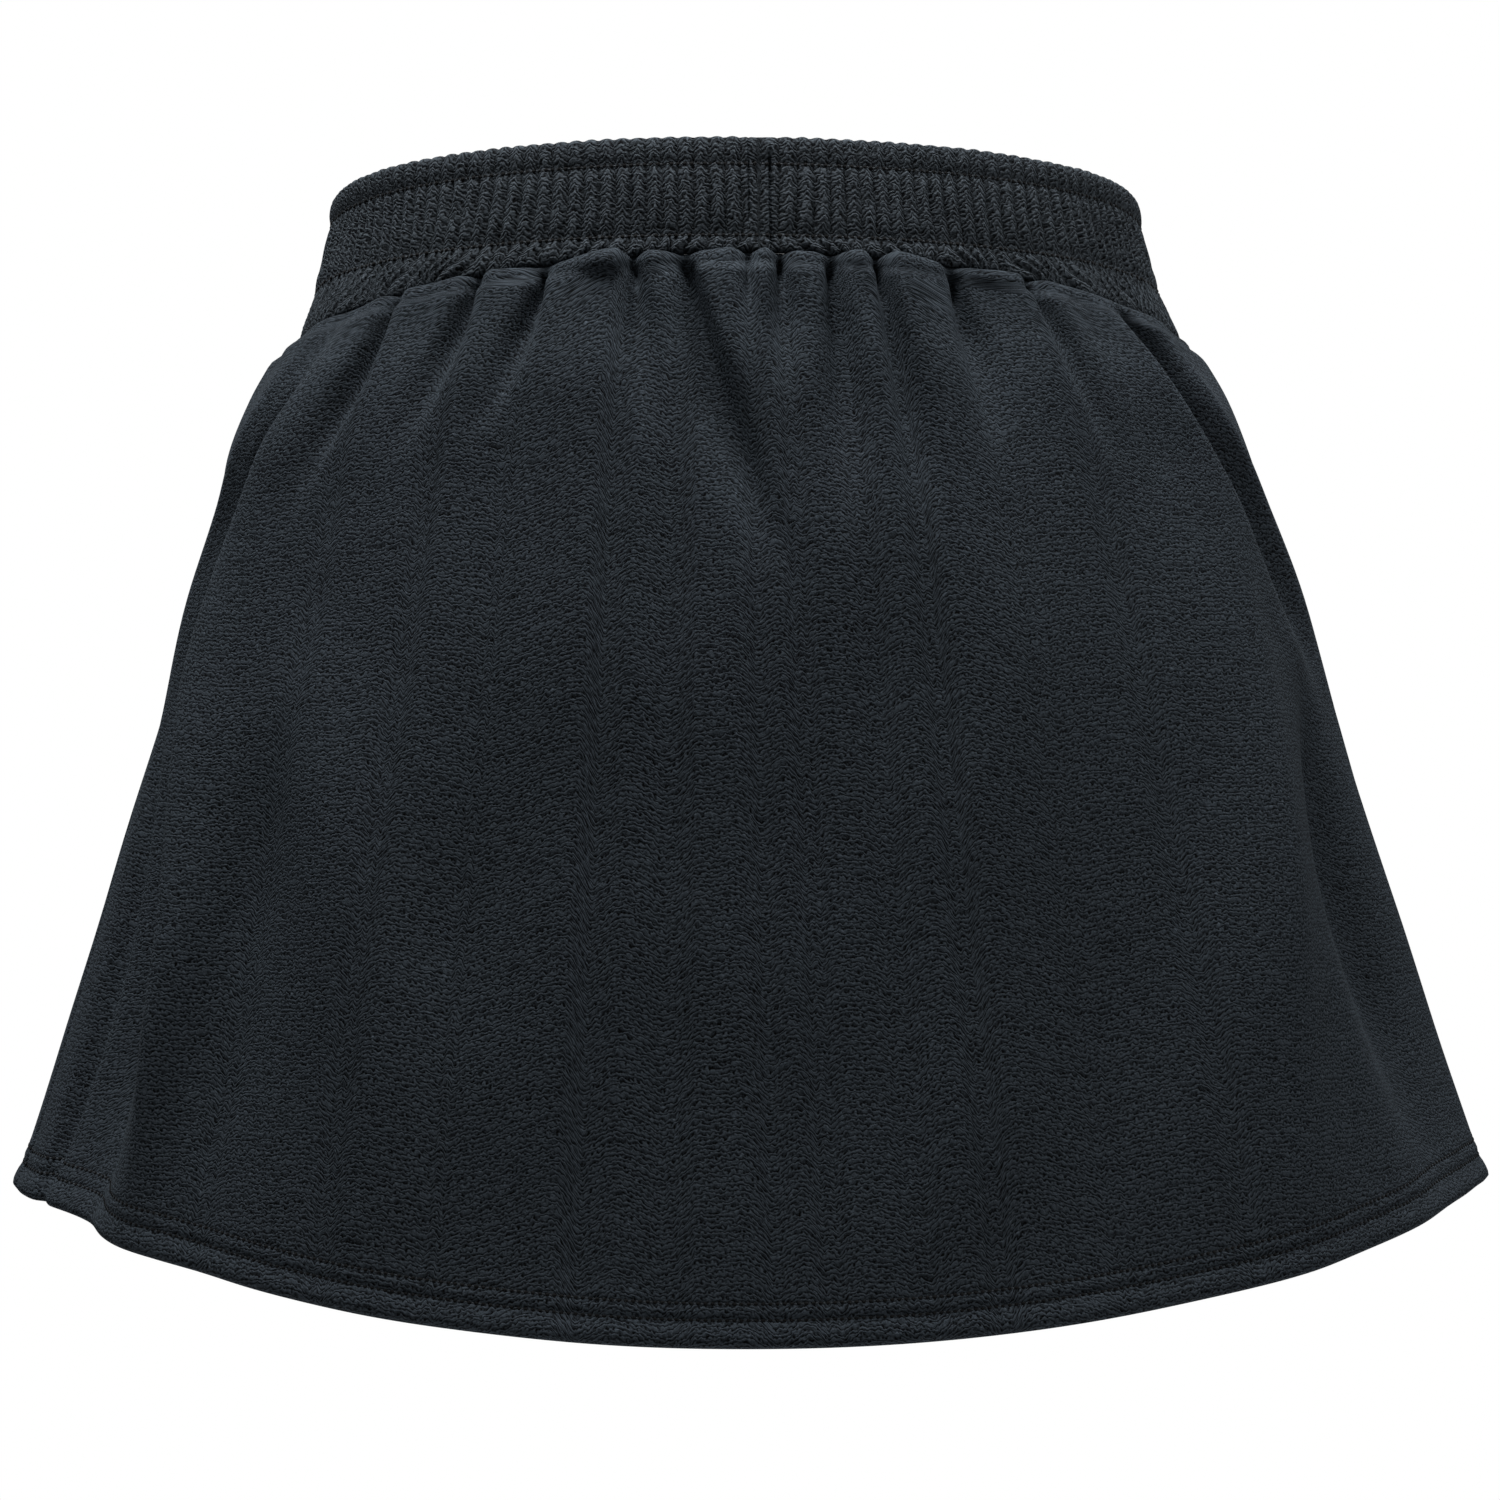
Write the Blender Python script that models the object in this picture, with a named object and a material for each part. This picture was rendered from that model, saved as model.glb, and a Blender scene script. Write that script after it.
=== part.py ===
"""A women's tennis skort, hollow, in the form that it keeps when it is worn.

An elastic waistband, an A-line overskirt of a back and a front that are gathered into the
waist seam and joined at the side seams, and the two halves of plain inner shorts that hang
from the same seam.

Frame: metres, +Z up, +Y the way the wearer faces, +X the wearer's right. The origin is the
middle of the waist opening, at half the height of the band at the centre back. A bearing is
an angle round the body in degrees: 0 is the wearer's right side, 90 the centre front, 180
the left side and 270 the centre back. The tables below are in millimetres."""

import math

import bmesh
import bpy
import numpy as np

MM = 0.001
RIGHT_SIDE, CENTRE_FRONT, LEFT_SIDE, CENTRE_BACK = 0.0, 90.0, 180.0, 270.0
FULL_TURN = 360.0

# Thickness of each wall.
BAND_THICKNESS = 3.8
SKIRT_THICKNESS = 1.5
HEM_THICKNESS = 2.6
SHORTS_THICKNESS = 1.2
SEAM_GAP = 0.4

# Heights of the edges that run round the body, at the back, the sides and the front, and
# how slowly each leaves its height at the sides.
TOP_EDGE = (18.0, 10.0, 5.0, 0.7)
WAIST_SEAM = (-18.0, -36.0, -31.0, 1.6)
SKIRT_HEM = (-345.5, -312.0, -338.0, 2.2)

# Half-sizes of the outer surface from the top of the band to the hem.
LEFT, RIGHT, BACK, FRONT = 1, 2, 3, 4
FORM = (
    # height, left, right, back, front
    (18.0, 133.0, 133.5, 100.0, 95.0),
    (-5.0, 134.5, 136.5, 103.0, 98.0),
    (-20.0, 139.0, 141.5, 105.5, 100.0),
    (-36.0, 145.0, 149.5, 110.0, 103.0),
    (-54.0, 155.5, 161.0, 116.0, 108.0),
    (-72.0, 164.5, 170.0, 120.0, 112.0),
    (-92.0, 170.0, 178.0, 124.0, 115.0),
    (-120.0, 178.0, 188.0, 128.0, 118.0),
    (-220.0, 208.0, 218.5, 136.0, 127.0),
    (-345.0, 247.0, 259.5, 145.0, 138.0),
)

# The side seams swing a little towards the back on their way down.
LEFT_SEAM = (LEFT_SIDE, LEFT_SIDE + 7.0)
RIGHT_SEAM = (RIGHT_SIDE, RIGHT_SIDE - 3.0)

# Folds and gathers of the skirt. Each runs down from the waist seam through three bearings,
# between two drops below the seam, and widens from one half-width to the other. A height
# below nothing is a valley.
FOLDS = (
    # at the start, half-way, at the end, first drop, last drop, narrow, wide, height
    # Large folds of the back.
    (209.0, 199.0, 212.0, 0.0, 420.0, 6.0, 15.0, 7.0),
    (196.0, 194.0, 207.0, 50.0, 440.0, 7.0, 16.0, -8.0),
    (320.5, 331.0, 311.0, 0.0, 430.0, 6.0, 20.0, 6.0),
    (316.0, 340.0, 326.0, 8.0, 430.0, 6.0, 22.0, -6.0),
    (344.0, 349.0, 350.0, 120.0, 520.0, 12.0, 18.0, 5.0),
    (240.0, 232.0, 226.0, 60.0, 520.0, 22.0, 34.0, 3.0),
    (258.0, 262.0, 266.0, 120.0, 520.0, 26.0, 40.0, -3.0),
    (290.0, 288.0, 286.0, 80.0, 520.0, 24.0, 36.0, 2.5),
    # Gathers under the back of the band.
    (219.3, 219.0, 214.0, 0.0, 60.0, 3.0, 7.0, -4.5),
    (232.6, 231.5, 229.0, 0.0, 66.0, 3.0, 8.0, -4.0),
    (242.2, 241.2, 239.0, 0.0, 44.0, 2.5, 6.0, -3.0),
    (253.9, 256.0, 259.0, 0.0, 80.0, 4.0, 12.0, -3.0),
    (260.5, 263.5, 268.0, 0.0, 70.0, 3.0, 8.0, -3.5),
    (272.3, 272.0, 271.5, 0.0, 58.0, 3.0, 8.0, -3.0),
    (278.7, 277.5, 277.0, 0.0, 72.0, 4.0, 11.0, -2.5),
    (284.5, 284.0, 282.0, 0.0, 62.0, 3.0, 8.0, -4.5),
    (294.6, 293.8, 292.5, 0.0, 62.0, 3.0, 8.0, -4.0),
    (306.0, 307.0, 308.5, 0.0, 58.0, 3.0, 8.0, -4.0),
    # Large folds of the front.
    (27.0, 20.0, 34.0, 0.0, 440.0, 6.0, 17.0, 6.5),
    (16.0, 12.0, 24.0, 40.0, 440.0, 7.0, 18.0, -6.0),
    (150.0, 159.0, 146.0, 0.0, 430.0, 6.0, 18.0, 6.5),
    (161.0, 168.0, 158.0, 50.0, 430.0, 7.0, 18.0, -6.0),
    (62.0, 57.0, 52.0, 70.0, 520.0, 22.0, 34.0, 3.0),
    (96.0, 92.0, 90.0, 110.0, 520.0, 26.0, 40.0, -3.0),
    (118.0, 122.0, 126.0, 80.0, 520.0, 22.0, 34.0, 2.5),
    # Gathers under the front of the band.
    (41.0, 40.0, 37.0, 0.0, 62.0, 3.0, 8.0, -4.5),
    (52.5, 51.5, 50.0, 0.0, 52.0, 3.0, 7.0, -3.5),
    (65.0, 66.0, 68.0, 0.0, 70.0, 3.5, 10.0, -3.5),
    (76.5, 76.0, 74.5, 0.0, 58.0, 3.0, 8.0, -3.0),
    (87.0, 88.0, 89.0, 0.0, 66.0, 3.0, 8.0, -4.0),
    (99.5, 99.0, 97.5, 0.0, 54.0, 3.0, 8.0, -3.0),
    (110.0, 111.0, 113.0, 0.0, 72.0, 4.0, 11.0, -3.5),
    (122.5, 122.0, 121.0, 0.0, 56.0, 3.0, 8.0, -4.0),
    (135.5, 136.5, 139.0, 0.0, 62.0, 3.0, 8.0, -4.5),
)
FOLD_RISE = 14.0
FOLD_HOLD = 0.35
PUFF = 2.0
PUFF_REACH = (10.0, 70.0)

# The band, as drops below its top edge in thousandths of its height, and how far each
# stands out. The two dips are its stitch rows.
BAND_PROFILE = (
    # share of height, standing out
    (0, -0.9),
    (70, 0.2),
    (235, -0.6),
    (330, 0.2),
    (740, 0.2),
    (850, -0.6),
    (930, 0.5),
    (1000, 0.0),
)
BAND_COLUMNS = 72

# The skirt's rows, as thousandths of the way from the waist seam to the hem's stitching,
# and then the turned hem.
SKIRT_ROWS = (0, 30, 65, 110, 165, 240, 330, 440, 560, 690, 840, 1000)
SKIRT_COLUMNS = 56
HEM_DEPTH = 14.0
SEAM_STRIP = 1.6

# The body of the shorts, which lies closer than the skirt, down to the crotch.
SIDE = 1
SHORTS_BACK, SHORTS_FRONT = 2, 3
SHORTS_FORM = (
    # height, side, back, front
    (-46.0, 143.0, 101.0, 95.0),
    (-70.0, 148.0, 106.0, 99.0),
    (-110.0, 157.0, 112.0, 103.0),
    (-160.0, 166.0, 117.0, 105.0),
    (-235.0, 169.0, 116.0, 101.0),
)
SHORTS_INSIDE = 2.4
SHORTS_BELOW = 1.8
CROTCH = -235.0
CROTCH_BLEND = (-140.0, -235.0)
LEG_HEM = -298.0
LEG_HALF = (83.5, 102.0)
LEG_FORWARD = -2.0
LEG_TAPER = 0.95
LEGS_APART = 2.0
SHORTS_COLUMNS = 28
SHORTS_HEIGHTS = (-70.0, -105.0, -145.0, -190.0, -215.0)
LEG_ROWS = 3
CENTRE_SEAM_GAP = 0.3

# name, colour, roughness
KNIT = ("charcoal_knit", (0.020, 0.024, 0.029), 0.88)
BAND_KNIT = ("waistband_knit", (0.018, 0.021, 0.026), 0.86)
SHORTS_KNIT = ("inner_shorts_knit", (0.016, 0.018, 0.022), 0.80)


def eased(share):
    """0 to 1 with a soft start and end."""
    share = np.clip(share, 0.0, 1.0)
    return share * share * (3.0 - 2.0 * share)


def along(table, column, height):
    """A column's value at a height, on a smooth curve through the table's rows."""
    rows = np.array(sorted(table))
    at, value = rows[:, 0], rows[:, column]
    slope = np.gradient(value, at)
    height = np.clip(height, at[0], at[-1])
    i = np.clip(np.searchsorted(at, height) - 1, 0, len(at) - 2)
    gap = at[i + 1] - at[i]
    t = (height - at[i]) / gap
    start = (1.0 + 2.0 * t) * (1.0 - t) ** 2 * value[i] + t * (1.0 - t) ** 2 * gap * slope[i]
    end = t * t * (3.0 - 2.0 * t) * value[i + 1] - t * t * (1.0 - t) * gap * slope[i + 1]
    return start + end


def edge_height(bearing, edge):
    """The height of an edge that runs round the body, from its back, side and front."""
    back, side, front, power = edge
    ahead = np.sin(np.radians(bearing))
    return side + (np.where(ahead > 0.0, front, back) - side) * np.abs(ahead) ** power


def half_sizes(bearing, height):
    turn = np.radians(bearing)
    half_width = np.where(np.cos(turn) > 0.0, along(FORM, RIGHT, height), along(FORM, LEFT, height))
    half_depth = np.where(np.sin(turn) > 0.0, along(FORM, FRONT, height), along(FORM, BACK, height))
    return half_width, half_depth


def form_point(bearing, height, out=0.0):
    """The point of the worn form at a bearing and a height, moved outwards."""
    turn = np.radians(bearing)
    half_width, half_depth = half_sizes(bearing, height)
    normal_x, normal_y = np.cos(turn) / half_width, np.sin(turn) / half_depth
    length = np.hypot(normal_x, normal_y)
    return np.stack(
        [
            half_width * np.cos(turn) + out * normal_x / length,
            half_depth * np.sin(turn) + out * normal_y / length,
            height + 0.0 * half_width,
        ],
        axis=-1,
    )


def even_bearings(start, end, count, height):
    """Bearings whose points are the same distance apart round the form at a height."""
    fine = np.linspace(start, end, 20 * count + 1)
    points = form_point(fine, height + 0.0 * fine)
    steps = np.linalg.norm(np.diff(points, axis=0), axis=1)
    run = np.concatenate([[0.0], np.cumsum(steps)])
    return np.interp(np.linspace(0.0, run[-1], count + 1), run, fine)


def fold_height(bearing, height, drop):
    """How far the folds and gathers move the skirt's surface out."""
    turn = np.radians(bearing)
    half_width, half_depth = half_sizes(bearing, height)
    per_degree = np.hypot(half_width * np.sin(turn), half_depth * np.cos(turn)) * math.pi / 180.0
    total = PUFF * eased(drop / PUFF_REACH[0]) * (1.0 - eased(drop / PUFF_REACH[1]))
    for start, middle, end, first, last, narrow, wide, rise in FOLDS:
        share = np.clip((drop - first) / (last - first), 0.0, 1.0)
        centre = (
            start * (1.0 - share) * (1.0 - 2.0 * share)
            + middle * 4.0 * share * (1.0 - share)
            + end * share * (2.0 * share - 1.0)
        )
        away = ((bearing - centre + FULL_TURN / 2.0) % FULL_TURN - FULL_TURN / 2.0) * per_degree
        width = narrow + (wide - narrow) * share
        reach = eased((drop - first) / FOLD_RISE) * (
            1.0 - eased((share - FOLD_HOLD) / (1.0 - FOLD_HOLD))
        )
        total = total + rise * reach * np.exp(-((away / width) ** 2))
    return total


def fabric(name, colour, roughness):
    material = bpy.data.materials.new(name)
    material.use_nodes = True
    shader = material.node_tree.nodes["Principled BSDF"]
    shader.inputs["Base Color"].default_value = (*colour, 1.0)
    shader.inputs["Roughness"].default_value = roughness
    shader.inputs["Metallic"].default_value = 0.0
    return material


def wall(name, rows, thickness, material, ring=False, leg_row=None, thin_share=None):
    """A cloth wall whose outer surface runs through rows of points in millimetres, top first.

    A ring's rows close on themselves, and from leg_row down a leg's rows do. thin_share
    gives each row's share of the thickness."""
    mesh = bmesh.new()
    weights = mesh.verts.layers.deform.verify()
    lines = []
    for number, row in enumerate(rows):
        closed = ring or (leg_row is not None and number >= leg_row)
        line = [mesh.verts.new(tuple(point * MM)) for point in (row[:-1] if closed else row)]
        for vertex in line:
            vertex[weights][0] = 1.0 if thin_share is None else thin_share[number]
        lines.append(line + line[:1] if closed else line)
    for upper, lower in zip(lines, lines[1:]):
        for i in range(len(lower) - 1):
            mesh.faces.new([upper[i], lower[i], lower[i + 1], upper[i + 1]])
    data = bpy.data.meshes.new(name)
    mesh.to_mesh(data)
    mesh.free()
    data.shade_smooth()
    data.materials.append(material)
    piece = bpy.data.objects.new(name, data)
    bpy.context.scene.collection.objects.link(piece)
    piece.vertex_groups.new(name="thickness")
    solidify = piece.modifiers.new("cloth thickness", "SOLIDIFY")
    solidify.thickness = thickness * MM
    solidify.offset = -1.0
    solidify.vertex_group = "thickness"
    return piece


def waistband():
    bearings = even_bearings(CENTRE_BACK, CENTRE_BACK + FULL_TURN, BAND_COLUMNS, 0.0)
    top = edge_height(bearings, TOP_EDGE)
    bottom = edge_height(bearings, WAIST_SEAM)
    rows = [
        form_point(bearings, top + (bottom - top) * share / 1000.0, out)
        for share, out in BAND_PROFILE
    ]
    return wall("waistband", rows, BAND_THICKNESS, fabric(*BAND_KNIT), ring=True)


def skirt_panel(name, from_seam, to_seam):
    """A panel of the skirt from one side seam to the other, each given at waist and hem."""
    rows = []
    shares = [share / 1000.0 for share in SKIRT_ROWS]
    for share in [*shares, None]:
        down = 1.0 if share is None else share
        start = from_seam[0] + (from_seam[1] - from_seam[0]) * down
        end = to_seam[0] + (to_seam[1] - to_seam[0]) * down
        bearings = even_bearings(start, end, SKIRT_COLUMNS, -120.0)
        # At the side seams the form runs straight back, so its half-depth turns a length
        # into a bearing: half the seam's gap, and a narrow strip that keeps the wall square.
        half_depth = half_sizes(bearings[0], SKIRT_HEM[1])[1]
        half_gap = math.degrees(SEAM_GAP / 2.0 / half_depth)
        strip = math.degrees(SEAM_STRIP / half_depth)
        bearings = np.array(
            [
                start + half_gap,
                start + strip,
                *bearings[1:-1],
                end - strip,
                end - half_gap,
            ]
        )
        seam = edge_height(bearings, WAIST_SEAM) - SEAM_GAP
        hem = edge_height(bearings, SKIRT_HEM)
        height = hem if share is None else seam + (hem + HEM_DEPTH - seam) * share
        rows.append(form_point(bearings, height, fold_height(bearings, height, seam - height)))
    thin = SKIRT_THICKNESS / HEM_THICKNESS
    thickness = [thin] * (len(rows) - 2) + [1.0, 1.0]
    return wall(name, rows, HEM_THICKNESS, fabric(*KNIT), thin_share=thickness)


def shorts_row(turn, height):
    """A row of the right half's body, from the centre front round the side to the back."""
    side = along(SHORTS_FORM, SIDE, height)
    depth = np.where(
        np.cos(turn) > 0.0,
        along(SHORTS_FORM, SHORTS_FRONT, height),
        along(SHORTS_FORM, SHORTS_BACK, height),
    )
    return np.stack(
        [CENTRE_SEAM_GAP + side * np.sin(turn), depth * np.cos(turn), height + 0.0 * turn], axis=-1
    )


def leg_row(turn, height, taper):
    """A row of the right leg, closed at the inside of the thigh."""
    inner = LEGS_APART
    half_width = LEG_HALF[0] * taper
    return np.stack(
        [
            inner + half_width * (1.0 - np.cos(2.0 * turn)),
            LEG_FORWARD + LEG_HALF[1] * taper * np.sin(2.0 * turn),
            height + 0.0 * turn,
        ],
        axis=-1,
    )


def shorts_half(name, side):
    """Half of the inner shorts, on the right (1) or the left (-1): half the body and a leg."""
    turn = np.linspace(0.0, math.pi, SHORTS_COLUMNS + 1)
    bearings = CENTRE_FRONT - side * np.degrees(turn)
    seam = edge_height(bearings, WAIST_SEAM)
    top = form_point(bearings, seam, -SHORTS_INSIDE) * (side, 1.0, 1.0)
    top[:, 2] -= SHORTS_BELOW
    top[:, 0] = np.maximum(top[:, 0], CENTRE_SEAM_GAP)
    rows = [top]
    for height in SHORTS_HEIGHTS:
        blend = eased((height - CROTCH_BLEND[0]) / (CROTCH_BLEND[1] - CROTCH_BLEND[0]))
        rows.append(
            (1.0 - blend) * shorts_row(turn, height) + blend * leg_row(turn, height, 1.0)
        )
    first_leg_row = len(rows)
    for step in range(LEG_ROWS):
        share = step / (LEG_ROWS - 1)
        height = CROTCH + (LEG_HEM - CROTCH) * share
        rows.append(leg_row(turn, height, 1.0 + (LEG_TAPER - 1.0) * share))
    if side < 0:
        rows = [row * (side, 1.0, 1.0) for row in rows]
    else:
        # These rows run clockwise seen from above, so each is turned for its faces to look out.
        rows = [row[::-1] for row in rows]
    return wall(name, rows, SHORTS_THICKNESS, fabric(*SHORTS_KNIT), leg_row=first_leg_row)


def main():
    for leftover in list(bpy.data.objects):
        bpy.data.objects.remove(leftover, do_unlink=True)
    waistband()
    skirt_panel("skirt_back", LEFT_SEAM, tuple(bearing + FULL_TURN for bearing in RIGHT_SEAM))
    skirt_panel("skirt_front", RIGHT_SEAM, LEFT_SEAM)
    shorts_half("shorts_right", 1)
    shorts_half("shorts_left", -1)


main()
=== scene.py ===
"""The looks of a women's tennis skort, in the form that it keeps when it is worn.

A ribbed elastic waistband, a gathered overskirt of a back and a front panel with a hem sewn in
two rows, and plain inner shorts. Metres, +Z up, +Y the way the wearer faces, +X the wearer's
right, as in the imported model. The tables are in millimetres and degrees. A bearing is an angle
round the body: 0 is the right side, 90 the centre front, 180 the left side, 270 the centre
back. A drop is a length down from the top of a piece."""

import math

import bpy
import numpy as np
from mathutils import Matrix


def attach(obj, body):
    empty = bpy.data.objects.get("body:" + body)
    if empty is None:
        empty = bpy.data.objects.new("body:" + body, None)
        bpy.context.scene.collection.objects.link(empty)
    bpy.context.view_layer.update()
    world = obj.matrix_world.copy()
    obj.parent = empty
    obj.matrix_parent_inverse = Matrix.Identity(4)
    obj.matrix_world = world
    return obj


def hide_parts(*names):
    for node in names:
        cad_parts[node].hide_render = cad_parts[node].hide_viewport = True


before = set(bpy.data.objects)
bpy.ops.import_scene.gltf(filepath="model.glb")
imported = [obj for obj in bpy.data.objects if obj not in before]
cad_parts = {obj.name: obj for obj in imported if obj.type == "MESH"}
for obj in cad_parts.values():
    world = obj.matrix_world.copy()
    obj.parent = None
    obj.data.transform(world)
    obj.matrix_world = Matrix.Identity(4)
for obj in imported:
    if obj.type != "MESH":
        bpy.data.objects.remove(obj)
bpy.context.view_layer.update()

bl_info = {
    "name": "Tennis skort",
    "version": (1, 0, 0),
    "blender": (4, 5, 0),
    "location": "View3D > Sidebar > Skort",
    "description": "Makes the cloth, stitches and studio of a gathered tennis skort",
    "category": "Object",
}

MM = 0.001
FULL_TURN = 360.0
RIGHT_SIDE, LEFT_SIDE, CENTRE_BACK = 0.0, 180.0, 270.0
BODY = "root"
CLOTH_MAP = "cloth"
SEED = 11

# Heights of the edges that run round the body: back, side, front, and how slowly each leaves
# its height at the sides.
TOP_EDGE = (18.0, 10.0, 5.0, 0.7)
WAIST_SEAM = (-18.0, -36.0, -31.0, 1.6)
SKIRT_HEM = (-345.5, -312.0, -338.0, 2.2)

# Half-sizes of the outer surface from the top of the band to the hem.
LEFT, RIGHT, BACK, FRONT = 1, 2, 3, 4
FORM = (
    # height, left, right, back, front
    (18.0, 133.0, 133.5, 100.0, 95.0),
    (-5.0, 134.5, 136.5, 103.0, 98.0),
    (-20.0, 139.0, 141.5, 105.5, 100.0),
    (-36.0, 145.0, 149.5, 110.0, 103.0),
    (-54.0, 155.5, 161.0, 116.0, 108.0),
    (-72.0, 164.5, 170.0, 120.0, 112.0),
    (-92.0, 170.0, 178.0, 124.0, 115.0),
    (-120.0, 178.0, 188.0, 128.0, 118.0),
    (-220.0, 208.0, 218.5, 136.0, 127.0),
    (-345.0, 247.0, 259.5, 145.0, 138.0),
)

# Each side seam's bearing at the waist and at the hem.
LEFT_SEAM = (LEFT_SIDE, LEFT_SIDE + 7.0)
RIGHT_SEAM = (RIGHT_SIDE, RIGHT_SIDE - 3.0)
SEAM_GAP = 0.4

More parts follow.
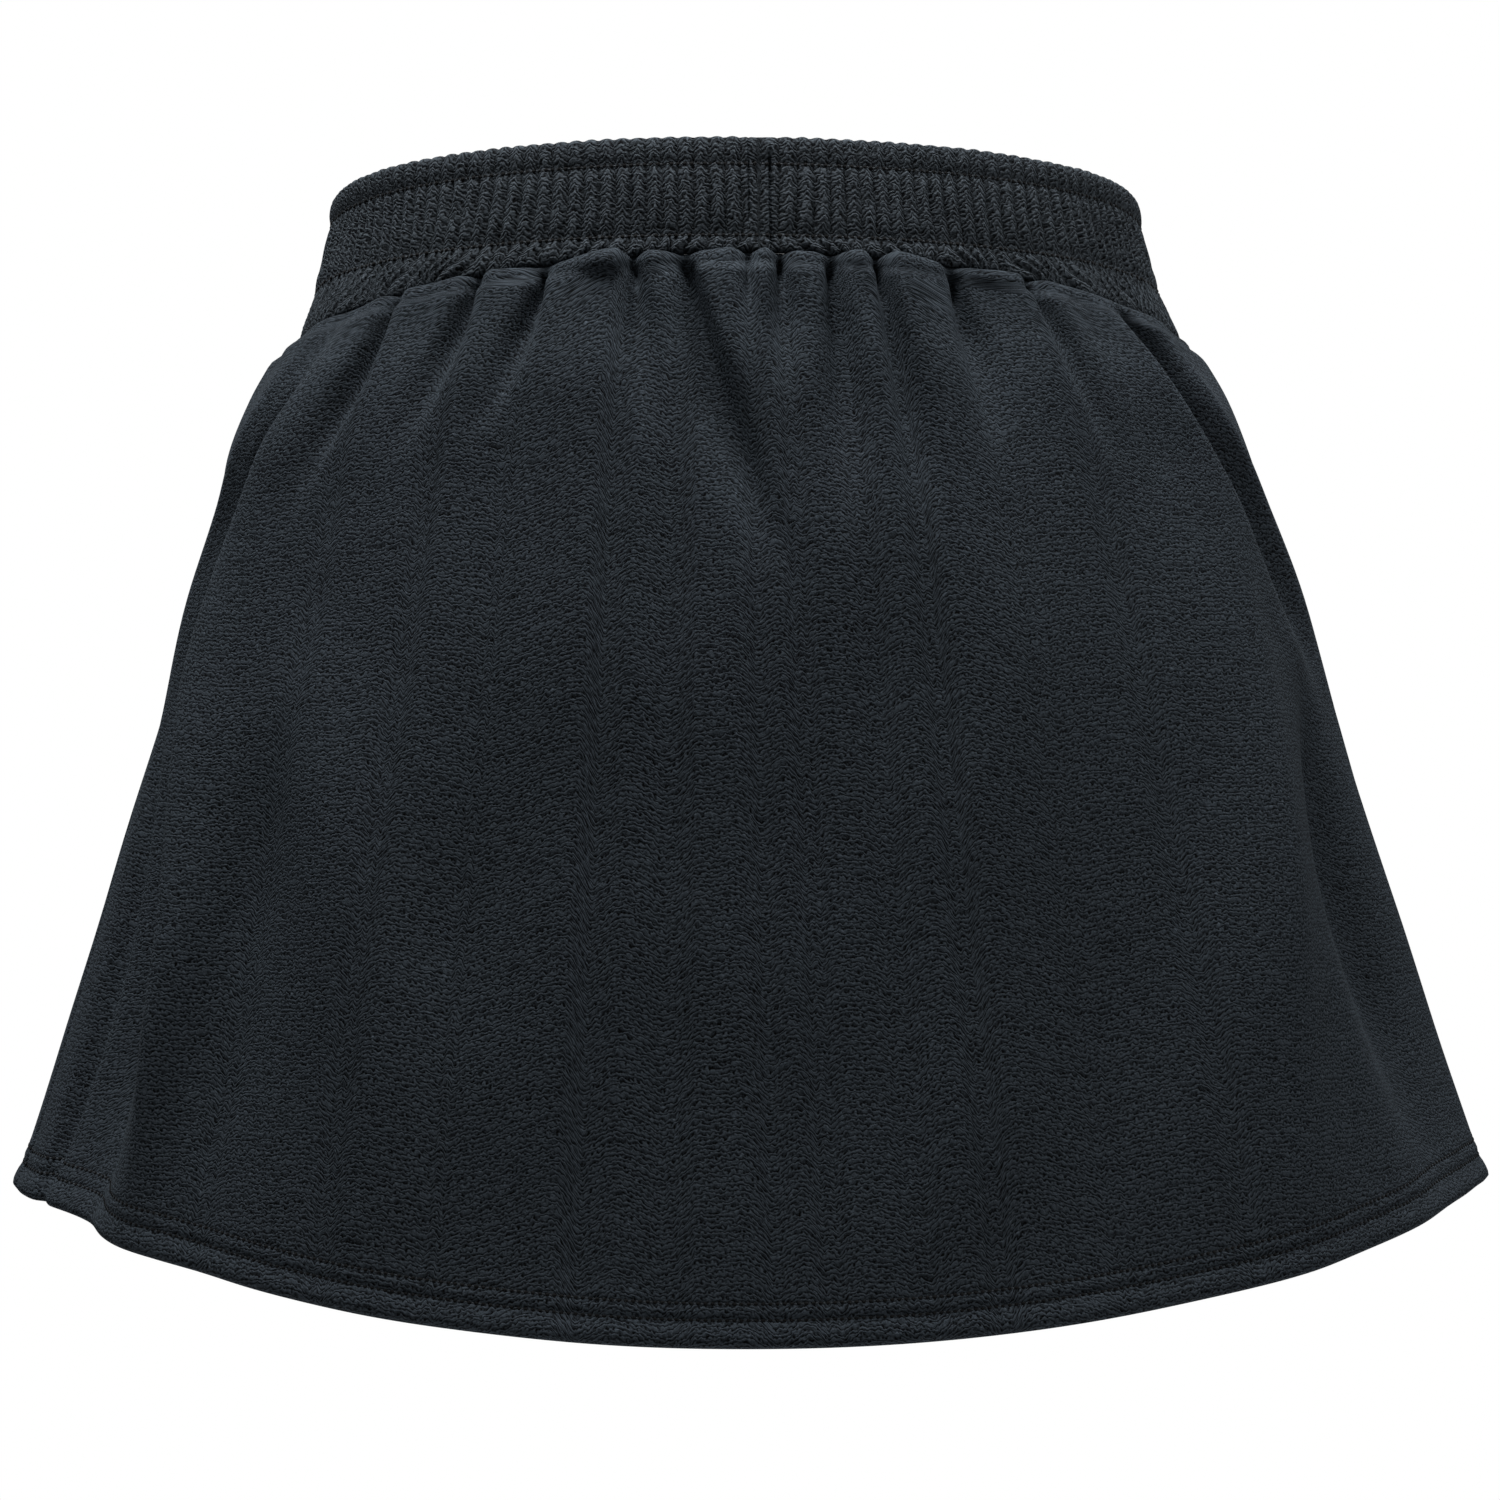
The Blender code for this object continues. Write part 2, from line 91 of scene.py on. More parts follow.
# Large folds, each followed down its line. A fold with a negative height is a valley, and a
# crisp side has the smaller half-width.
BEARING, HEIGHT, BEFORE, PAST = 1, 2, 3, 4
FOLDS = (
    # Rows: drop, bearing, height, half-width before the line, half-width past it.
    # Back: the long fold on the left, with its steep outer side.
    (
        (0.0, 211.5, 0.0, 4.0, 8.0),
        (20.0, 210.0, 4.0, 4.0, 14.0),
        (40.0, 207.5, 6.5, 4.5, 18.0),
        (75.0, 204.0, 8.5, 5.0, 24.0),
        (110.0, 204.0, 10.0, 5.5, 24.0),
        (146.0, 208.0, 11.5, 5.5, 19.0),
        (191.0, 212.5, 11.5, 5.5, 12.0),
        (233.0, 214.5, 9.0, 6.5, 9.0),
        (262.0, 215.5, 4.0, 8.0, 9.0),
        (290.0, 216.0, 1.0, 10.0, 10.0),
    ),
    # The valley outside it.
    (
        (20.0, 205.5, 0.0, 4.0, 4.0),
        (45.0, 202.0, -5.0, 5.0, 5.0),
        (80.0, 197.0, -8.0, 7.0, 6.0),
        (110.0, 196.0, -12.0, 12.0, 7.0),
        (146.0, 199.5, -18.0, 18.0, 8.0),
        (191.0, 203.5, -23.0, 24.0, 9.0),
        (233.0, 205.5, -21.0, 26.0, 10.0),
        (262.0, 206.0, -14.0, 27.0, 12.0),
        (290.0, 206.0, -7.0, 28.0, 16.0),
    ),
    # The flat stretch on its inner side.
    (
        (130.0, 219.0, 0.0, 9.0, 12.0),
        (175.0, 221.5, -3.5, 11.0, 13.0),
        (230.0, 223.5, -4.0, 12.0, 14.0),
        (290.0, 225.0, -2.0, 14.0, 16.0),
    ),
    # The crease close to the side seam.
    (
        (115.0, 186.0, 0.0, 2.4, 3.0),
        (150.0, 189.5, -2.5, 2.4, 3.0),
        (210.0, 193.0, -4.5, 2.6, 4.0),
        (270.0, 195.0, -4.0, 2.6, 4.0),
        (290.0, 195.5, -1.5, 2.6, 4.0),
    ),
    # The small bulge beside it under the band.
    (
        (3.0, 203.0, 0.5, 6.0, 5.0),
        (25.0, 198.0, 2.0, 8.0, 5.0),
        (50.0, 193.0, 3.0, 10.0, 5.0),
        (80.0, 187.0, 3.0, 12.0, 6.0),
        (125.0, 184.0, 0.0, 12.0, 8.0),
    ),
    # The broad soft ridges of the middle.
    (
        (95.0, 221.0, 0.0, 16.0, 16.0),
        (140.0, 225.5, 2.2, 18.0, 18.0),
        (173.0, 230.0, 3.2, 20.0, 20.0),
        (205.0, 235.0, 3.4, 20.0, 22.0),
        (250.0, 239.0, 2.8, 22.0, 24.0),
        (340.0, 243.0, 1.2, 26.0, 26.0),
    ),
    (
        (80.0, 293.0, 0.0, 16.0, 18.0),
        (110.0, 292.5, 1.8, 16.0, 20.0),
        (175.0, 289.5, 2.4, 18.0, 22.0),
        (250.0, 285.0, 1.8, 22.0, 26.0),
        (340.0, 282.0, 0.4, 26.0, 28.0),
    ),
    # The slanting fold on the right, and the valley above it.
    (
        (0.0, 318.0, 2.0, 6.0, 3.0),
        (12.0, 320.0, 4.5, 10.0, 3.0),
        (29.0, 322.3, 5.5, 16.0, 3.6),
        (43.0, 324.5, 5.5, 20.0, 4.5),
        (78.0, 331.0, 4.0, 28.0, 8.0),
        (110.0, 334.0, 1.5, 34.0, 14.0),
        (145.0, 334.0, 0.0, 34.0, 18.0),
    ),
    (
        (0.0, 322.5, -3.0, 3.0, 5.0),
        (12.0, 324.5, -7.0, 3.2, 7.0),
        (29.0, 327.0, -8.5, 3.6, 9.0),
        (43.0, 329.5, -8.5, 4.2, 11.0),
        (78.0, 336.5, -6.0, 7.0, 12.0),
        (110.0, 343.0, -1.5, 10.0, 14.0),
        (145.0, 345.0, 0.0, 12.0, 14.0),
    ),
    (
        (8.0, 332.0, 0.0, 4.0, 6.0),
        (30.0, 336.0, 3.0, 5.0, 8.0),
        (60.0, 342.0, 3.5, 6.0, 10.0),
        (100.0, 348.0, 2.0, 8.0, 12.0),
        (145.0, 350.0, 0.0, 12.0, 14.0),
    ),
    # The wide ridge below it, the valley past it and the rounded edge.
    (
        (50.0, 322.0, 0.0, 26.0, 14.0),
        (85.0, 323.0, 3.8, 32.0, 13.0),
        (110.0, 322.5, 6.0, 30.0, 14.0),
        (145.0, 320.5, 8.0, 30.0, 15.0),
        (188.0, 318.0, 9.0, 30.0, 16.0),
        (220.0, 315.5, 8.0, 30.0, 17.0),
        (264.0, 312.5, 4.5, 32.0, 18.0),
        (340.0, 310.0, 1.0, 34.0, 20.0),
    ),
    (
        (105.0, 337.0, 0.0, 10.0, 12.0),
        (145.0, 335.0, -8.0, 13.0, 14.0),
        (175.0, 334.0, -11.5, 15.0, 17.0),
        (200.0, 334.0, -12.5, 16.0, 19.0),
        (220.0, 334.5, -11.5, 17.0, 20.0),
        (247.0, 335.0, -7.0, 18.0, 20.0),
        (290.0, 335.0, -1.5, 20.0, 20.0),
    ),
    (
        (120.0, 350.0, 0.0, 12.0, 14.0),
        (180.0, 351.0, 2.0, 12.0, 14.0),
        (250.0, 352.0, 3.0, 12.0, 14.0),
        (340.0, 353.0, 3.0, 14.0, 16.0),
    ),
    # Front: alike, with other places and sizes.
    (
        (0.0, 32.0, 0.0, 8.0, 4.0),
        (25.0, 29.0, 4.5, 16.0, 5.0),
        (60.0, 24.0, 6.5, 24.0, 6.0),
        (120.0, 22.0, 7.5, 32.0, 7.5),
        (180.0, 28.0, 7.0, 30.0, 8.0),
        (240.0, 33.0, 5.5, 24.0, 9.0),
        (340.0, 35.0, 2.5, 18.0, 10.0),
    ),
    (
        (30.0, 21.0, 0.0, 4.0, 4.0),
        (70.0, 15.0, -4.0, 7.0, 7.0),
        (130.0, 12.0, -6.5, 10.0, 9.0),
        (200.0, 19.0, -7.5, 12.0, 11.0),
        (260.0, 23.0, -6.0, 12.0, 12.0),
        (340.0, 25.0, -3.0, 12.0, 12.0),
    ),
    (
        (0.0, 148.0, 1.0, 8.0, 3.5),
        (20.0, 150.0, 4.5, 14.0, 4.0),
        (50.0, 154.0, 6.0, 22.0, 5.0),
        (90.0, 159.0, 5.5, 30.0, 8.0),
        (150.0, 156.0, 6.0, 34.0, 12.0),
        (220.0, 149.0, 5.0, 34.0, 14.0),
        (340.0, 143.0, 1.5, 34.0, 18.0),
    ),
    (
        (5.0, 153.0, 0.0, 4.0, 5.0),
        (25.0, 156.0, -4.5, 5.0, 8.0),
        (60.0, 162.0, -5.0, 7.0, 11.0),
        (110.0, 168.0, -4.0, 10.0, 13.0),
        (180.0, 165.0, -6.5, 14.0, 14.0),
        (250.0, 163.0, -5.0, 15.0, 14.0),
        (340.0, 160.0, -1.5, 18.0, 16.0),
    ),
    (
        (70.0, 64.0, 0.0, 16.0, 16.0),
        (130.0, 60.0, 2.6, 20.0, 20.0),
        (220.0, 55.0, 3.4, 24.0, 22.0),
        (340.0, 50.0, 1.4, 28.0, 26.0),
    ),
    (
        (80.0, 116.0, 0.0, 16.0, 18.0),
        (150.0, 119.0, 2.2, 20.0, 22.0),
        (240.0, 124.0, 2.6, 24.0, 26.0),
        (340.0, 128.0, 0.8, 28.0, 28.0),
    ),
)

# Gathers under the band: a short tight slit that opens into a soft valley.
GATHERS = (
    # start, half-way, end, slit length, slit depth, slit half-width, valley length, valley
    # depth, half-width before, half-width past
    # Back.
    (219.3, 218.4, 212.5, 16.0, 5.0, 1.5, 72.0, 6.5, 7.0, 3.0),
    (232.7, 231.8, 228.0, 15.0, 5.5, 1.4, 60.0, 5.5, 7.0, 3.0),
    (242.2, 241.3, 238.0, 17.0, 5.5, 1.3, 58.0, 5.0, 6.5, 2.8),
    (253.9, 256.0, 259.0, 12.0, 4.5, 1.5, 62.0, 4.4, 4.0, 6.5),
    (260.6, 266.4, 272.5, 10.0, 5.0, 1.6, 104.0, 9.0, 9.5, 4.6),
    (268.4, 268.3, 268.2, 19.0, 4.0, 0.9, 30.0, 1.5, 2.5, 2.5),
    (272.4, 272.1, 271.6, 16.0, 6.0, 1.4, 50.0, 4.5, 4.5, 5.5),
    (278.7, 278.2, 277.6, 12.0, 3.5, 1.7, 92.0, 6.5, 5.5, 7.0),
    (284.5, 285.2, 286.0, 20.0, 6.5, 1.4, 88.0, 5.5, 4.0, 6.0),
    (294.6, 294.6, 294.2, 14.0, 6.0, 1.6, 62.0, 5.6, 4.0, 6.5),
    (306.0, 307.6, 311.0, 16.0, 4.5, 1.3, 66.0, 3.2, 2.8, 7.5),
    # Front.
    (41.0, 40.0, 36.5, 16.0, 5.0, 1.4, 88.0, 5.8, 7.5, 3.0),
    (52.5, 51.5, 49.0, 12.0, 4.5, 1.3, 72.0, 4.8, 7.5, 3.0),
    (65.0, 66.0, 68.0, 18.0, 5.5, 1.2, 90.0, 5.4, 5.0, 6.5),
    (76.5, 76.0, 74.5, 9.0, 3.5, 1.5, 76.0, 4.2, 5.0, 5.5),
    (87.0, 88.0, 89.0, 17.0, 5.5, 1.3, 88.0, 5.2, 5.0, 7.0),
    (99.5, 99.0, 97.5, 11.0, 3.8, 1.3, 72.0, 4.4, 5.5, 5.5),
    (110.0, 111.0, 113.0, 16.0, 5.6, 1.3, 90.0, 5.6, 3.8, 7.0),
    (122.5, 122.0, 121.0, 10.0, 4.5, 1.4, 74.0, 4.8, 5.0, 7.0),
    (135.5, 136.5, 139.0, 18.0, 5.4, 1.3, 82.0, 5.6, 3.0, 8.0),
)
# The puff below them: how far it stands out, the drops by which it is full and gone, and how
# uneven it is.
PUFF = 4.2
PUFF_REACH = (5.0, 74.0)
PUFF_UNEVEN = 0.39
# The roll over the band's lower edge: its height, how uneven that is, its share at the sides,
# and how wide it rounds down into a slit.
ROLL = 2.6
ROLL_UNEVEN = 0.3
ROLL_AT_SIDES = 0.25
ROLL_SHOULDER = 6.5
ROLL_LINES = 6
ROLL_DROP = 2.0
UNDER_BAND = -1.0
# Fine creases at random places under the band, drawn between these limits.
FINE_CREASES = 46
CREASE_START = (-6.0, 8.0)
CREASE_LENGTH = (18.0, 62.0)
CREASE_RISE = (-0.9, 0.7)
CREASE_WIDTH = (1.6, 3.4)
CREASE_LEAN = -7.0
CREASE_LEAN_SHARE = (0.3, 1.0)
# The cloth's slight waviness all over, and its limit inwards: at the seam, and more for each
# millimetre of drop.
CLOTH_UNEVEN = 0.35
DEEPEST = (3.0, 0.2)

# The skirt's lines, from the seam down: (up to this drop, this far apart).
SKIRT_TOP_LINES = ((12.0, 0.9), (40.0, 1.7), (76.0, 3.4))
SKIRT_MIDDLE_LINES = 40
SKIRT_COLUMNS = 330
COLUMN_HEIGHT = -120.0
SEAM_COLUMNS = (0.01, 0.4, 1.1, 2.1, 3.3)
SLIT_COLUMNS = (-1.3, -0.8, -0.4, 0.4, 0.8, 1.3)
SLIT_HEIGHT = -20.0
# The side seam's dip and half-width, and the share of it that the inner face follows, so that
# the edges that meet there stay thick.
SIDE_SEAM_DIP = (1.8, 1.5)
SEAM_TURN_IN = 0.6
EDGE_WALL = 0.4

# The hem, up from its edge: where the outer surface stands against the skirt's.
HEM_STITCHES = (13.3, 8.5)
HEM_PROFILE = (
    # above the edge, standing out
    (20.0, 0.0),
    (16.0, 0.0),
    (14.6, 0.1),
    (13.9, 0.0),
    (13.3, -0.15),
    (12.7, 0.05),
    (11.9, 0.25),
    (10.9, 0.4),
    (9.9, 0.25),
    (9.1, 0.1),
    (8.5, -0.1),
    (7.9, 0.2),
    (7.1, 0.4),
    (5.9, 0.85),
    (4.4, 1.2),
    (2.9, 1.35),
    (1.7, 1.15),
    (0.8, 0.2),
    (0.2, -0.5),
    (0.0, -1.1),
)

# The waistband, down from its top edge.
BAND_STITCHES = (8.6, 30.8)
BAND_THICKNESS = 3.8
BAND_ROLL_TURNS = (90.0, 66.0, 42.0, 18.0)
BAND_PROFILE = (
    # drop, standing out, depth of the ribs in tenths
    (2.0, 0.10, 8.0),
    (3.2, 0.25, 9.0),
    (4.6, 0.35, 10.0),
    (6.0, 0.30, 10.0),
    (7.2, 0.15, 9.0),
    (8.0, 0.0, 7.0),
    (8.6, -0.10, 6.0),
    (9.2, 0.0, 9.0),
    (10.2, 0.15, 13.0),
    (12.0, 0.45, 16.0),
    (15.0, 0.55, 19.0),
    (20.0, 0.60, 20.0),
    (25.0, 0.50, 19.0),
    (28.0, 0.25, 15.0),
    (29.4, -0.05, 10.0),
    (30.2, -0.05, 10.0),
    (30.8, -0.15, 8.0),
)
BAND_LINE_STEP = 0.95
BAND_LOWER_PROFILE = (
    # share of the way from the lower stitches to the seam, standing out, depth in tenths
    (0.0, -0.15, 8.0),
    (0.12, 0.0, 11.0),
    (0.35, 0.35, 13.0),
    (0.65, 0.40, 12.0),
    (0.88, 0.10, 7.0),
    (1.0, -0.80, 3.0),
)
BAND_LOWER_LINES = 13
BAND_INSIDE_LINES = 22
RIB_COLUMNS = 6
INSIDE_RIBS = 0.55
PLAIN_RIBS = 8.0
RIB_WOBBLE = 0.22
RIB_UNEVEN = 0.3
BAND_UNEVEN = 0.3
# Below the lower stitches the ribs lean, least at the sides and most at the back and front.
CRUMPLE_LEAN = (1.5, 17.0)
CRUMPLE_WOBBLE = 0.5
# The join at the centre back: a strip with low ribs between two grooves.
JOIN_HALF_WIDTH = 2.2
JOIN_RIBS = 0.2
JOIN_DEGREE = 1.78
GROOVE_END = 5.0
JOIN_GROOVES = (
    # bearing, first drop, last drop, depth, half-width
    (268.6, -4.0, 24.0, 1.3, 0.45),
    (271.4, 3.0, 33.0, 2.2, 0.6),
)
GROOVE_COLUMNS = (-0.9, -0.5, -0.25, 0.0, 0.25, 0.5, 0.9)

# The inner shorts.
SIDE = 1
SHORTS_BACK, SHORTS_FRONT = 2, 3
SHORTS_FORM = (
    # height, side, back, front
    (-46.0, 143.0, 101.0, 95.0),
    (-70.0, 148.0, 106.0, 99.0),
    (-110.0, 157.0, 112.0, 103.0),
    (-160.0, 166.0, 117.0, 105.0),
    (-235.0, 169.0, 116.0, 101.0),
)
SHORTS_INSIDE = 4.6
SHORTS_BELOW = 1.8
SHORTS_TOP_ROW = -70.0
SHORTS_TOP_LINES = 6
SHORTS_SET_IN = 0.45
SHORTS_UNEVEN = 0.35
SHORTS_SEAM_EASE = 0.12
CROTCH = -235.0
CROTCH_BLEND = (-140.0, -235.0)
LEG_HEM = -298.0
LEG_HALF = (83.5, 102.0)
LEG_FORWARD = -2.0
LEG_TAPER = 0.95
LEGS_APART = 2.0
CENTRE_SEAM_GAP = 0.3
SHORTS_COLUMNS = 150
SHORTS_BODY_LINES = 46
LEG_LINES = 22
LEG_HEM_DEPTH = 18.0
LEG_HEM_THICKER = 0.6
LEG_STITCHES = (15.0, 11.0)
LEG_STITCH_DIP = (0.2, 0.7)

# The knit's surface: how far its courses wander, on a small and a large scale, the parts of
# courses and loops in its relief, and the painted shade of a sunk and a raised place: darker where
# the relief sinks, lighter where it rises.
WANDER, DRIFT = 1.75, 1.2
COURSE_PART, LOOP_PART, LOOP_CONTRAST = 0.62, 0.38, 2.4
PAINTED_SHADE_SPAN, PAINTED_SHADE_LOW = 2.2, -0.12
# Painted shade between the waistband's ribs: the shade in the valleys, and how much lighter the
# crests are.
PAINTED_VALLEY_SHADE, PAINTED_CREST_SPAN = 0.6, 0.6
LINT_FROM, LINT_GAIN = 0.74, 5.0

# A stitch: the share of its pitch that the thread shows, and how flat the threads and the
# near-black beads of painted shade at each needle hole are.
THREAD_SHOWS = 0.52
STITCH_FLATNESS = 0.7
STITCH_SINK = 0.0001
THREAD_ROUGHNESS = 0.7
# The near-black beads at each needle hole are painted shade: the colour and roughness of that
# painted shadow.
HOLE_SHADE_COLOUR, HOLE_ROUGHNESS = (0.0012, 0.0015, 0.0019), 1.0


def eased(share):
    """0 to 1 with a soft start and end."""
    share = np.clip(share, 0.0, 1.0)
    return share * share * (3.0 - 2.0 * share)


def mixed(first, second, share):
    return first + (second - first) * share


def turned(angle):
    """An angle brought within half a turn either way."""
    return (angle + FULL_TURN / 2.0) % FULL_TURN - FULL_TURN / 2.0


def along(table, column, height):
    """A column's value at a height, on a smooth curve through the table's rows."""
    rows = np.array(sorted(table))
    at, value = rows[:, 0], rows[:, column]
    slope = np.gradient(value, at)
    height = np.clip(height, at[0], at[-1])
    i = np.clip(np.searchsorted(at, height) - 1, 0, len(at) - 2)
    gap = at[i + 1] - at[i]
    t = (height - at[i]) / gap
    start = (1.0 + 2.0 * t) * (1.0 - t) ** 2 * value[i] + t * (1.0 - t) ** 2 * gap * slope[i]
    end = t * t * (3.0 - 2.0 * t) * value[i + 1] - t * t * (1.0 - t) * gap * slope[i + 1]
    return start + end


def edge_height(bearing, edge):
    """The height of an edge that runs round the body, from its back, side and front."""
    back, side, front, power = edge
    ahead = np.sin(np.radians(bearing))
    return side + (np.where(ahead > 0.0, front, back) - side) * np.abs(ahead) ** power


def half_sizes(bearing, height):
    turn = np.radians(bearing)
    half_width = np.where(np.cos(turn) > 0.0, along(FORM, RIGHT, height), along(FORM, LEFT, height))
    half_depth = np.where(np.sin(turn) > 0.0, along(FORM, FRONT, height), along(FORM, BACK, height))
    return half_width, half_depth


def outwards(bearing, height):
    """The level direction that points straight out of the worn form."""
    turn = np.radians(bearing)
    half_width, half_depth = half_sizes(bearing, height)
    x, y = np.cos(turn) / half_width, np.sin(turn) / half_depth
    length = np.hypot(x, y)
    return np.stack([x / length, y / length, 0.0 * length], axis=-1)


def form_point(bearing, height, out=0.0):
    """The point of the worn form at a bearing and a height, moved outwards."""
    turn = np.radians(bearing)
    half_width, half_depth = half_sizes(bearing, height)
    on_form = np.stack(
        [half_width * np.cos(turn), half_depth * np.sin(turn), height + 0.0 * half_width], axis=-1
    )
    return on_form + np.expand_dims(out + 0.0 * half_width, -1) * outwards(bearing, height)


def degree_length(bearing, height):
    """How many millimetres one degree of bearing is."""
    turn = np.radians(bearing)
    half_width, half_depth = half_sizes(bearing, height)
    return np.hypot(half_width * np.sin(turn), half_depth * np.cos(turn)) * math.pi / 180.0


def even_bearings(start, end, count, height):
    """Bearings whose points are the same distance apart round the form at a height."""
    fine = np.linspace(start, end, 20 * count + 1)
    points = form_point(fine, height + 0.0 * fine)
    run = run_along(points)
    return np.interp(np.linspace(0.0, run[-1], count + 1), run, fine)


def run_along(points):
    """The length along a line of points, from its first one."""
    steps = np.linalg.norm(np.diff(points, axis=0), axis=-1)
    return np.concatenate([0.0 * steps[:1], np.cumsum(steps, axis=0)])


def unevenness(seed, places, slow, fast, waves=6):
    """A smooth uneven value, mostly within -1 to 1, over one or more lengths."""
    draw = np.random.default_rng(seed)
    total = 0.0
    for _ in range(waves):
        phase = draw.uniform(0.0, 2.0 * math.pi)
        for place in places:
            phase = phase + place * draw.uniform(slow, fast) * draw.choice((-1.0, 1.0))
        total = total + np.sin(phase)
    return total / math.sqrt(waves)


# ---------------------------------------------------------------- meshes


def closed_shell(name, lines, cloth, closed_lines, values=()):
    """A closed cloth shell as a new object.

    lines[k, c] is the point in column c of the k-th line. The lines run down the outer face,
    over the edge and up the inner face, and the last one joins the first. Where closed_lines
    is true a line's last point is its first one. cloth[k, c] is the place on the cloth in
    metres. values are (name, array) pairs kept on the points, in metres."""
    count, columns = lines.shape[:2]
    place = np.arange(count * columns).reshape(count, columns)
    vertex = place.copy()
    vertex[closed_lines, -1] = vertex[closed_lines, 0]
    after = (np.arange(count) + 1) % count
    faces = [
        np.stack(
            [place[:, :-1], place[after][:, :-1], place[after][:, 1:], place[:, 1:]], axis=-1
        ).reshape(-1, 4)
    ]
    upper = np.arange(count // 2 - 1)
    upper = upper[~(closed_lines[upper] & closed_lines[upper + 1])]
    inner, inner_next = count - 1 - upper, count - 2 - upper
    for column, order in ((0, (0, 3, 2, 1)), (-1, (0, 1, 2, 3))):
        corners = np.stack(
            [place[line, column] for line in (upper, upper + 1, inner_next, inner)], axis=-1
        )
        faces.append(corners[:, order])
    faces = np.concatenate(faces)
    used, corner_vertex = np.unique(vertex.reshape(-1)[faces], return_inverse=True)
    mesh = bpy.data.meshes.new(name)
    points = lines.reshape(-1, 3)[used] * MM
    mesh.from_pydata(points.tolist(), [], corner_vertex.reshape(-1, 4).tolist())
    cloth_map = mesh.uv_layers.new(name=CLOTH_MAP)
    cloth_map.data.foreach_set("uv", cloth.reshape(-1, 2)[faces].astype(np.float32).reshape(-1))
    for value_name, value in values:
        vector = value.ndim == 3
        kept = mesh.attributes.new(value_name, "FLOAT_VECTOR" if vector else "FLOAT", "POINT")
        flat = value.reshape(count * columns, -1)[used].astype(np.float32).reshape(-1)
        kept.data.foreach_set("vector" if vector else "value", flat)
    mesh.shade_smooth()
    mesh.update()
    piece = bpy.data.objects.new(name, mesh)
    bpy.context.scene.collection.objects.link(piece)
    return piece


def cloth_places(outer, centre):
    """Places on the cloth in metres: along each line from a column, and down from the top."""
    across = np.stack([run_along(line) for line in outer])
    across = across - across[:, centre : centre + 1]
    down = run_along(outer)
    return np.stack([across, down], axis=-1) * MM


def there_and_back(values):
    """Values down the outer face, then the same ones back up the inner face."""
    return np.concatenate([values, values[::-1]])


def as_plain_mesh(piece):
    """Applies a piece's modifiers and leaves it a plain mesh."""
    graph = bpy.context.evaluated_depsgraph_get()
    mesh = bpy.data.meshes.new_from_object(piece.evaluated_get(graph))
    piece.modifiers.clear()
    piece.data = mesh
    mesh.name = piece.name
    return piece


def finished(piece, replaced=()):
    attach(piece, BODY)
    if replaced:
        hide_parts(*replaced)
    return piece


# ---------------------------------------------------------------- skirt


def fold_line(bearing, drop, start, middle, end, first, last):
    """How far along its way a fold is at each drop, and how many degrees away its line is."""
    share = np.clip((drop - first) / (last - first), 0.0, 1.0)
    centre = (
        start * (1.0 - share) * (1.0 - 2.0 * share)
        + middle * 4.0 * share * (1.0 - share)
        + end * share * (2.0 * share - 1.0)
    )
    return share, turned(bearing - centre)


def hump(away, before, past):
    """A soft bell, 1 on its line, with a half-width on either side."""
    return np.exp(-((away / np.where(away < 0.0, before, past)) ** 2))


def skirt_relief(bearing, height, drop):
    """How far the folds, gathers, puffs and creases move the cloth out."""
    per_degree = degree_length(bearing, height)
    total = PUFF * eased(drop / PUFF_REACH[0]) * (1.0 - eased(drop / PUFF_REACH[1]))
    total = total * (1.0 + PUFF_UNEVEN * unevenness(SEED + 7, (bearing,), 0.1, 0.35))
    for rows in FOLDS:
        away = turned(bearing - along(rows, BEARING, drop)) * per_degree
        shape = hump(away, along(rows, BEFORE, drop), along(rows, PAST, drop))
        total = total + along(rows, HEIGHT, drop) * shape
    for start, middle, end, slit, slit_depth, tight, valley, depth, before, past in GATHERS:
        share, away = fold_line(bearing, drop, start, middle, end, 0.0, valley)
        away = away * per_degree
        opening = 0.35 + 0.65 * eased(share * 2.0)
        fading = 1.0 - eased((share - 0.3) / 0.7)
        total = total - depth * fading * hump(away, before * opening, past * opening)
        total = total - slit_depth * (1.0 - eased(drop / slit)) * hump(away, tight, tight)
    draw = np.random.default_rng(SEED)
    for _ in range(FINE_CREASES):
        start = draw.uniform(0.0, FULL_TURN)
        lean = CREASE_LEAN * math.sin(2.0 * math.radians(start))
        lean = lean * draw.uniform(*CREASE_LEAN_SHARE)
        first, length = draw.uniform(*CREASE_START), draw.uniform(*CREASE_LENGTH)
        rise, width = draw.uniform(*CREASE_RISE), draw.uniform(*CREASE_WIDTH)
        share, away = fold_line(
            bearing, drop, start, start + 0.5 * lean, start + lean, first, first + length
        )
        reach = eased((drop - first) / 4.0) * (1.0 - eased(share))
        wide = width * (1.0 + share)
        total = total + rise * reach * hump(away * per_degree, wide, wide)
    place = form_point(bearing, height)
    waves = unevenness(SEED + 1, (place[..., 0], place[..., 1], drop), 0.02, 0.09)
    total = total + CLOTH_UNEVEN * waves
    return np.maximum(total, -(DEEPEST[0] + DEEPEST[1] * drop))


def roll_height(bearing):
    """How high the cloth rolls up over the band's edge: round between the slits, and uneven."""
    height = 1.0 + ROLL_UNEVEN * unevenness(SEED + 8, (bearing,), 0.1, 0.4)
    height = height * mixed(ROLL_AT_SIDES, 1.0, np.abs(np.sin(np.radians(bearing))))
    for start, *_, before, past in GATHERS:
        away = turned(bearing - start) * degree_length(bearing, SLIT_HEIGHT)
        side = np.where(away < 0.0, before, past) / (before + past)
        height = height * np.sqrt(eased((np.abs(away) - 0.4) / (ROLL_SHOULDER * (0.4 + side))))
    return height


